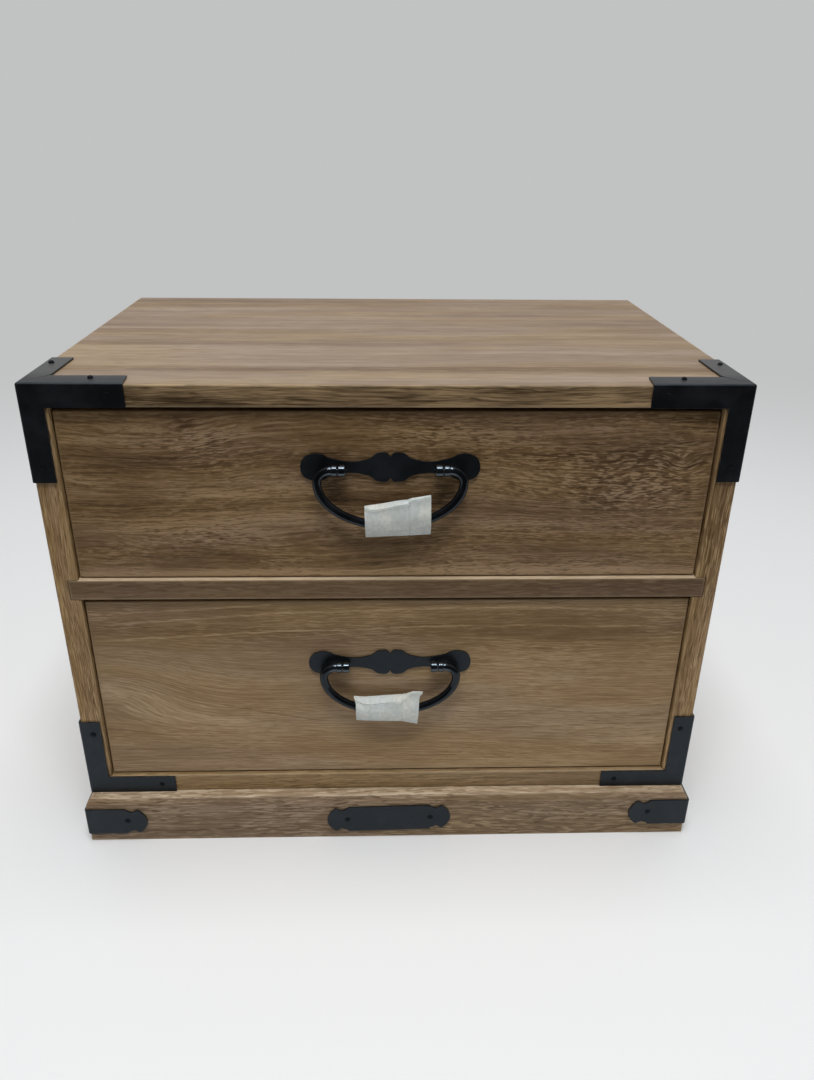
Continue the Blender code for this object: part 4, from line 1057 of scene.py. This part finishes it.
POST_NECK = 1.7 * MM
POST_FLANGE = 2.25 * MM
POST_FLANGE_BACK = 4.4 * MM
POST_FLANGE_THICK = 0.9 * MM
POST_STUD = 2.0 * MM
POST_FILLET = 0.4 * MM
POST_ROUND = 0.1 * MM
POST_ROUND_IN = 0.15 * MM
POST_TAIL = 23.2 * MM
POST_TAIL_CHAMFER = 0.5 * MM
THREAD_START = 17.6 * MM
THREAD_PITCH = 0.5 * MM
THREAD_DEPTH = 0.28 * MM
HEAD_RADIUS = 3.0 * MM
HEAD_HALF = 1.9 * MM
HEAD_ROUND = 0.6 * MM
HEAD_STEPS = 4
PIN_HOLE = 1.2 * MM
NUT_FLATS = 7.0 * MM
NUT_BORE = 2.1 * MM
NUT_CHAMFER = 0.45 * MM
NUT_FACE_SHARE = 0.96
BORE_CHAMFER_WIDE = 0.35 * MM
BORE_CHAMFER_DEEP = 0.3 * MM
TURNED_SHARP = math.radians(38)

handle_lacquer = lacquer_finish("handle_lacquer", 0.13, 0.36, 0.005 * MM, polish=0.64)
nut_steel = plated_finish("nut_steel", (0.62, 0.60, 0.55), (0.42, 0.40, 0.36))


def turned(bm, profile, along, centre, ring=False, flats=0):
    """Adds a turned solid to a mesh: (radius, run) points about an axis, closed on itself for a ring.

    With flats, a point marked True as its third value follows a polygon of that many flats.
    """
    along = Vector(along)
    first = along.orthogonal().normalized()
    second = along.cross(first)
    rows = []
    for radius, run, *shaped in profile:
        middle = Vector(centre) + along * run
        if radius == 0:
            rows.append([bm.verts.new(middle)])
            continue
        row = []
        for i in range(ROUND_SIDES):
            angle = 2 * math.pi * i / ROUND_SIDES
            reach = radius
            if flats and shaped and shaped[0]:
                step = 2 * math.pi / flats
                reach = radius / math.cos((angle + step / 2) % step - step / 2)
            row.append(bm.verts.new(middle + reach * (math.cos(angle) * first + math.sin(angle) * second)))
        rows.append(row)
    pairs = list(zip(rows, rows[1:]))
    if ring:
        pairs.append((rows[-1], rows[0]))
    for low_row, high_row in pairs:
        for i in range(ROUND_SIDES):
            j = (i + 1) % ROUND_SIDES
            quad = (low_row[i % len(low_row)], low_row[j % len(low_row)],
                    high_row[j % len(high_row)], high_row[i % len(high_row)])
            bm.faces.new(list(dict.fromkeys(quad)))


def turned_piece(name, bm, look, body, node_name):
    bmesh.ops.recalc_face_normals(bm, faces=bm.faces)
    piece = new_piece(name, mesh_of(bm, name), look)
    piece.data.set_sharp_from_angle(angle=TURNED_SHARP)
    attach(piece, body)
    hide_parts(node_name)
    return piece


def post_profile():
    """The post's stem from its middle to its threaded end, as (radius, run) points."""
    flange_front = POST_FLANGE_BACK - POST_FLANGE_THICK
    profile = [(0, 0), (POST_NECK, 0), (POST_NECK, flange_front - POST_FILLET),
               (POST_NECK + POST_ROUND, flange_front - POST_ROUND),
               (POST_FLANGE - POST_ROUND_IN, flange_front), (POST_FLANGE, flange_front + POST_ROUND),
               (POST_FLANGE, POST_FLANGE_BACK), (POST_STUD, POST_FLANGE_BACK), (POST_STUD, THREAD_START)]
    run = THREAD_START
    while run < POST_TAIL - 2 * THREAD_PITCH:
        profile += [(POST_STUD - THREAD_DEPTH, run + THREAD_PITCH / 2), (POST_STUD, run + THREAD_PITCH)]
        run += THREAD_PITCH
    return profile + [(POST_STUD - POST_TAIL_CHAMFER, POST_TAIL), (0, POST_TAIL)]


def head_profile():
    """The cross head's section: a tube with rounded outer edges."""
    profile = [(PIN_HOLE, -HEAD_HALF)]
    for turn, middle in ((-1, -HEAD_HALF + HEAD_ROUND), (1, HEAD_HALF - HEAD_ROUND)):
        for step in range(HEAD_STEPS + 1):
            share = step / HEAD_STEPS
            angle = math.pi / 2 * (share if turn < 0 else 1 - share)
            profile.append((HEAD_RADIUS - HEAD_ROUND + HEAD_ROUND * math.sin(angle),
                            middle + turn * HEAD_ROUND * math.cos(angle)))
    return profile + [(PIN_HOLE, HEAD_HALF)]


def nut_profile(thick):
    flats = NUT_FLATS / 2
    face = flats * NUT_FACE_SHARE
    mouth = NUT_BORE + BORE_CHAMFER_WIDE
    return [(NUT_BORE, BORE_CHAMFER_DEEP), (mouth, 0), (face, 0), (flats, NUT_CHAMFER, True),
            (flats, thick - NUT_CHAMFER, True), (face, thick), (mouth, thick),
            (NUT_BORE, thick - BORE_CHAMFER_DEEP)]


pivot_y = {}
for level in LEVELS:
    low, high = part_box(f"{level}_handle_bail")
    pivot_y[level] = (low.y + high.y) / 2
    for side, hand in HANDS:
        pivot = Vector((side * POST_SPREAD, pivot_y[level], handle_heights[level]))
        bm = bmesh.new()
        rubbed = bm.verts.layers.float.new("rubbed")
        turned(bm, post_profile(), (0, 1, 0), pivot)
        stem_size = len(bm.verts)
        turned(bm, head_profile(), (1, 0, 0), pivot, ring=True)
        bm.verts.ensure_lookup_table()
        for vert in bm.verts[stem_size:]:
            vert[rubbed] = 1.0
        turned_piece(f"{level}_{hand}_turned_post", bm, handle_lacquer, f"{level}_drawer",
                     f"{level}_handle_{hand}_post")
        low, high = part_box(f"{level}_handle_{hand}_nut")
        bm = bmesh.new()
        turned(bm, nut_profile(high.y - low.y), (0, 1, 0), (pivot.x, low.y, pivot.z), ring=True, flats=6)
        turned_piece(f"{level}_{hand}_hexagon_nut", bm, nut_steel, f"{level}_drawer",
                     f"{level}_handle_{hand}_nut")


# The bails: iron rod with a turned collar and a thin pin at each end, bent to a swinging loop and lacquered
# a glossy black. The pins are sprung into the posts' cross heads, and both are rubbed bright there.

BAIL_ROD = 2.3 * MM
BAIL_PIN = 1.1 * MM
BAIL_PIN_TIP = 23.1 * MM
BAIL_PIN_POINT = 0.3 * MM
BAIL_PIN_POINT_SHARE = 0.7
BAIL_COLLAR = 2.9 * MM
BAIL_COLLAR_IN = 26.2 * MM
BAIL_COLLAR_OUT = 29.4 * MM
BAIL_COLLAR_STEP = 0.02 * MM
BAIL_COLLAR_END = 0.6 * MM
BAIL_COLLAR_FOOT = 0.05 * MM
BAIL_EASE = 0.45 * MM
EASE_STEPS = 3
BAIL_RUB_FADE = 1.5 * MM
BAIL_HALF_WIDTH = 36.3 * MM
BAIL_ELBOW = 6.5 * MM
BAIL_DROP = 29.5 * MM
ELBOW_STEPS = 18
GRIP_STEPS = 96
ROD_SIDES = 24
BAIL_SHARP = math.radians(42)


def collar_stations():
    """The left end as (distance out from the middle, radius): pin, rounded collar and shoulder."""
    neck = BAIL_COLLAR - BAIL_EASE
    turns = [math.pi / 2 * step / EASE_STEPS for step in range(EASE_STEPS + 1)]
    rounding = [(BAIL_EASE * math.cos(turn), neck + BAIL_EASE * math.sin(turn)) for turn in turns]
    stations = [(BAIL_PIN_TIP, BAIL_PIN * BAIL_PIN_POINT_SHARE), (BAIL_PIN_TIP + BAIL_PIN_POINT, BAIL_PIN),
                (BAIL_COLLAR_IN - BAIL_COLLAR_STEP, BAIL_PIN), (BAIL_COLLAR_IN, neck)]
    stations += [(BAIL_COLLAR_IN + BAIL_EASE - run, radius) for run, radius in rounding[1:]]
    stations += [(BAIL_COLLAR_OUT - BAIL_COLLAR_END + run, radius) for run, radius in reversed(rounding)]
    return stations + [(BAIL_COLLAR_OUT - BAIL_COLLAR_FOOT, neck)]


def bail_stations():
    """The rod's centre line from the left pin's tip to the right one's: (x, z, radius) from the pivot."""
    left = [(-out, 0.0, radius) for out, radius in collar_stations()]
    for step in range(1, ELBOW_STEPS + 1):
        share = step / ELBOW_STEPS
        angle = math.pi / 2 * (1 + share)
        radius = (BAIL_COLLAR - BAIL_EASE) * (1 - share) + BAIL_ROD * share
        left.append((-BAIL_COLLAR_OUT + (BAIL_HALF_WIDTH - BAIL_COLLAR_OUT) * math.cos(angle),
                     -BAIL_ELBOW + BAIL_ELBOW * math.sin(angle), radius))
    grip = []
    for step in range(1, GRIP_STEPS):
        angle = math.pi * (1 + step / GRIP_STEPS)
        grip.append((BAIL_HALF_WIDTH * math.cos(angle),
                     -BAIL_ELBOW + (BAIL_DROP - BAIL_ELBOW) * math.sin(angle), BAIL_ROD))
    return left + grip + [(-x, z, radius) for x, z, radius in reversed(left)]


def make_drawn_rod():
    """A round rod along a guide line, as thick at each point as its radius says."""
    tree, given, result = new_group("drawn_rod", {
        "Geometry": "Guide", "Int": "Section Sides", "Material": "Finish"},
        {"Geometry": "Made"}, "Geometry")
    line = node(tree, "GeometryNodeMeshToCurve", {"Mesh": given["Guide"]})
    section = node(tree, "GeometryNodeCurvePrimitiveCircle", {
        "Resolution": given["Section Sides"], "Radius": 1.0})
    radius = node(tree, "GeometryNodeInputNamedAttribute", {"Name": "rod_radius"}, data_type="FLOAT")
    rod = node(tree, "GeometryNodeCurveToMesh", {
        "Curve": line.outputs[0], "Profile Curve": section.outputs[0], "Scale": radius.outputs[0],
        "Fill Caps": True})
    feed(result, Made=finished(rod.outputs[0], given["Finish"]))
    return tree


drawn_rod = make_drawn_rod()
for level in LEVELS:
    stations = bail_stations()
    name = f"{level}_bent_bail"
    guide = bpy.data.meshes.new(name)
    guide.from_pydata([(x, pivot_y[level], handle_heights[level] + z) for x, z, radius in stations],
                      [(i, i + 1) for i in range(len(stations) - 1)], [])
    guide.attributes.new("rod_radius", "FLOAT", "POINT").data.foreach_set("value", [s[2] for s in stations])
    worn = [max(0.0, 1 + z / BAIL_RUB_FADE) for x, z, radius in stations]
    guide.attributes.new("rubbed", "FLOAT", "POINT").data.foreach_set("value", worn)
    bail = grown(new_piece(name, guide), drawn_rod, {"Section Sides": ROD_SIDES, "Finish": handle_lacquer})
    bail.data.set_sharp_from_angle(angle=BAIL_SHARP)
    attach(bail, f"{level}_bail")
    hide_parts(f"{level}_handle_bail")


# The foam wraps: a scrap of thin white packing foam folded up round each bail's grip and creased by
# handling. Its back edge is turned over the top to meet the front one; only the folds and their pinch
# hold it.

FOAM_THICK = 0.9 * MM
FOAM_FOLD = 0.8 * MM
FOAM_OVER_ROD = 3.15 * MM
FOAM_STEPS_ALONG = 120
FOAM_STEPS_UP = 26
FOAM_FOLD_STEPS = 8
FOAM_CAP_STEPS = 9
FOAM_CAP_BULGE = 0.45 * MM
FOAM_CREASE = 0.40 * MM
FOAM_CREASE_HALF = 0.011
FOAM_SHARP = math.radians(60)
FOAM_TONES = ((0.52, 0.56, 0.54), (0.75, 0.76, 0.70), (0.69, 0.74, 0.73))
# Dents as (lumps in a metre, lumps in a metre of depth, shift, size).
FOAM_DENTS = ((170, 40, 0, 0.16 * MM), (420, 90, 7, 0.06 * MM))

# Each knot is (share of the length, millimetres): heights are from the pivot, and leans are to the front.
# The left and right edges have shares of the height instead, and creases are shares of the length alone.
UPPER_WRAP = {
    "flat": (33.0 * MM, 43.0 * MM),
    "left": ((0, -12.5), (1, -13.0)), "right": ((0, 20.3), (1, 20.2)), "creases": (0.67,),
    "foot": ((0, -35.3), (0.5, -34.7), (1, -33.9)),
    "front_top": ((0, -20.0), (0.16, -20.6), (0.64, -17.5), (0.72, -15.6), (1, -14.2)),
    "back_top": ((0, -19.6), (0.10, -19.3), (0.64, -16.5), (0.73, -15.3), (1, -13.9)),
    "front_lean": ((0, 0.0), (0.10, 0.35), (0.5, 0.1), (0.68, 0.3), (1, -0.2)),
    "mouth": ((0, 1.1), (0.10, 1.8), (0.60, 1.9), (0.76, 0.9), (1, 0.6)),
}
LOWER_WRAP = {
    "flat": (36.0 * MM, 42.0 * MM),
    "left": ((0, -18.9), (0.80, -19.0), (0.90, -19.3), (1, -20.2)),
    "right": ((0, 15.4), (0.80, 16.1), (0.90, 16.5), (1, 18.2)), "creases": (0.225, 0.73),
    "foot": ((0, -34.8), (0.21, -35.3), (0.73, -35.8), (1, -37.6)),
    "front_top": ((0, -21.8), (0.10, -23.3), (0.22, -23.5), (0.70, -22.2), (0.76, -21.0), (0.86, -17.2),
                  (1, -17.7)),
    "back_top": ((0, -20.6), (0.15, -21.5), (0.70, -20.2), (0.85, -17.5), (1, -17.8)),
    "front_lean": ((0, -0.5), (0.22, 0.6), (0.5, 0.1), (0.73, 0.7), (1, -0.6)),
    "mouth": ((0, 1.6), (0.15, 2.1), (0.68, 2.2), (0.82, 0.9), (1, 0.6)),
}


def along_knots(knots, share):
    """The value between the knots at a share of the length, eased a little at each knot."""
    for (low_at, low_value), (high_at, high_value) in zip(knots, knots[1:]):
        if share <= high_at:
            part = (share - low_at) / (high_at - low_at)
            part += 0.5 * (part * part * (3 - 2 * part) - part)
            return (low_value + (high_value - low_value) * part) * MM
    return knots[-1][1] * MM


def eased(value):
    value = min(max(value, 0.0), 1.0)
    return value * value * (3 - 2 * value)


def wrap_section(wrap, share):
    """The section at a share of the length as (depth, height): over the top, down the back, up in front."""
    x = along_knots(wrap["left"], 0) * (1 - share) + along_knots(wrap["right"], 0) * share
    rod = -BAIL_ELBOW - (BAIL_DROP - BAIL_ELBOW) * math.sqrt(1 - (x / BAIL_HALF_WIDTH) ** 2)
    foot = along_knots(wrap["foot"], share) + FOAM_FOLD
    mouth = along_knots(wrap["mouth"], share)
    lean = along_knots(wrap["front_lean"], share)

    def half(height, top):
        if height <= rod:
            return FOAM_FOLD + (FOAM_OVER_ROD - FOAM_FOLD) * eased((height - foot) / (rod - foot) * 1.25)
        rise = (height - rod) / (top - rod)
        return FOAM_OVER_ROD + (mouth - FOAM_OVER_ROD) * eased(rise * 1.2 - 0.2)

    section = []
    back_top = along_knots(wrap["back_top"], share)
    front_top = along_knots(wrap["front_top"], share)
    inside = -mouth - lean + 0.5 * FOAM_THICK
    for step in range(FOAM_CAP_STEPS):
        part = step / FOAM_CAP_STEPS
        bulge = FOAM_CAP_BULGE * math.sin(math.pi * part)
        height = front_top + (back_top - front_top) * part + bulge
        section.append((inside + (mouth - inside) * part, height))
    for step in range(FOAM_STEPS_UP):
        height = back_top + (foot - back_top) * step / FOAM_STEPS_UP
        section.append((half(height, back_top), height))
    for step in range(FOAM_FOLD_STEPS + 1):
        angle = math.pi * step / FOAM_FOLD_STEPS
        section.append((FOAM_FOLD * math.cos(angle), foot - FOAM_FOLD * math.sin(angle)))
    for step in range(1, FOAM_STEPS_UP + 1):
        height = foot + (front_top - foot) * step / FOAM_STEPS_UP
        section.append((-half(height, front_top) - lean * eased(step / FOAM_STEPS_UP * 1.4), height))
    return section


def folded_foam(name, wrap, level, look):
    """The wrap as a sheet folded round the rod, with slight dents, and its thickness added."""
    bm = bmesh.new()
    columns = []
    for i in range(FOAM_STEPS_ALONG + 1):
        share = i / FOAM_STEPS_ALONG
        section = wrap_section(wrap, share)
        foot = min(height for depth, height in section)
        top = max(height for depth, height in section)
        crease = sum(math.exp(-((share - at) / FOAM_CREASE_HALF) ** 2) for at in wrap["creases"])
        column = []
        for depth, height in section:
            rise = (height - foot) / (top - foot)
            x = along_knots(wrap["left"], rise) * (1 - share) + along_knots(wrap["right"], rise) * share
            dent = FOAM_CREASE * crease
            for fine, deep, shift, size in FOAM_DENTS:
                dent += noise.noise(Vector((x * fine, depth * deep, height * fine + shift))) * size
            column.append(bm.verts.new((x, pivot_y[level] + depth + dent, handle_heights[level] + height)))
        columns.append(column)
    for first, second in zip(columns, columns[1:]):
        for i in range(len(first) - 1):
            bm.faces.new((first[i], second[i], second[i + 1], first[i + 1]))
    piece = new_piece(name, mesh_of(bm, name), look)
    thick = piece.modifiers.new("foam", "SOLIDIFY")
    thick.thickness = FOAM_THICK
    thick.offset = 0
    plain(piece)
    piece.data.set_sharp_from_angle(angle=FOAM_SHARP)
    return piece


def make_foam_finish():
    """White foam: tiny closed cells, a cool and a warm cloudiness, and a dull waxy skin."""
    look, tree, shader = new_finish("packing_foam", Specular_IOR_Level=0.35)
    spot = object_spot(tree)
    shade = cloud(spot, 130.0, 3.0, 0.6)
    hue = cloud(spot, (70.0, 60.0, 90.0))
    fleck = cloud(spot, 620.0)
    cells = node(tree, "ShaderNodeTexVoronoi", {
        "Vector": spot, "Scale": 1100.0, "Randomness": 1.0}).outputs[0]
    grey, warm, cool = (rgba(tone) for tone in FOAM_TONES)
    colour = mixed(ramp(hue, 0.38, 0.62), warm, cool)
    colour = mixed(ramp(shade, 0.62, 0.30, 0.0, 0.55), colour, grey)
    colour = mixed(ramp(fleck, 0.56, 0.36, 0.0, 0.40), colour, grey)
    height = calc("MULTIPLY_ADD", cells, 0.5, calc("MULTIPLY", shade, 2.0))
    feed(shader.inputs, Base_Color=colour, Roughness=calc("MULTIPLY_ADD", shade, 0.3, 0.38),
         Normal=bumped(height, 0.35, 0.25 * MM))
    return look


packing_foam = make_foam_finish()
for level, wrap in (("upper", UPPER_WRAP), ("lower", LOWER_WRAP)):
    foam = folded_foam(f"{level}_foam_wrap", wrap, level, packing_foam)
    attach(foam, f"{level}_bail")
    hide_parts(f"{level}_handle_sleeve")


low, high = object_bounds()
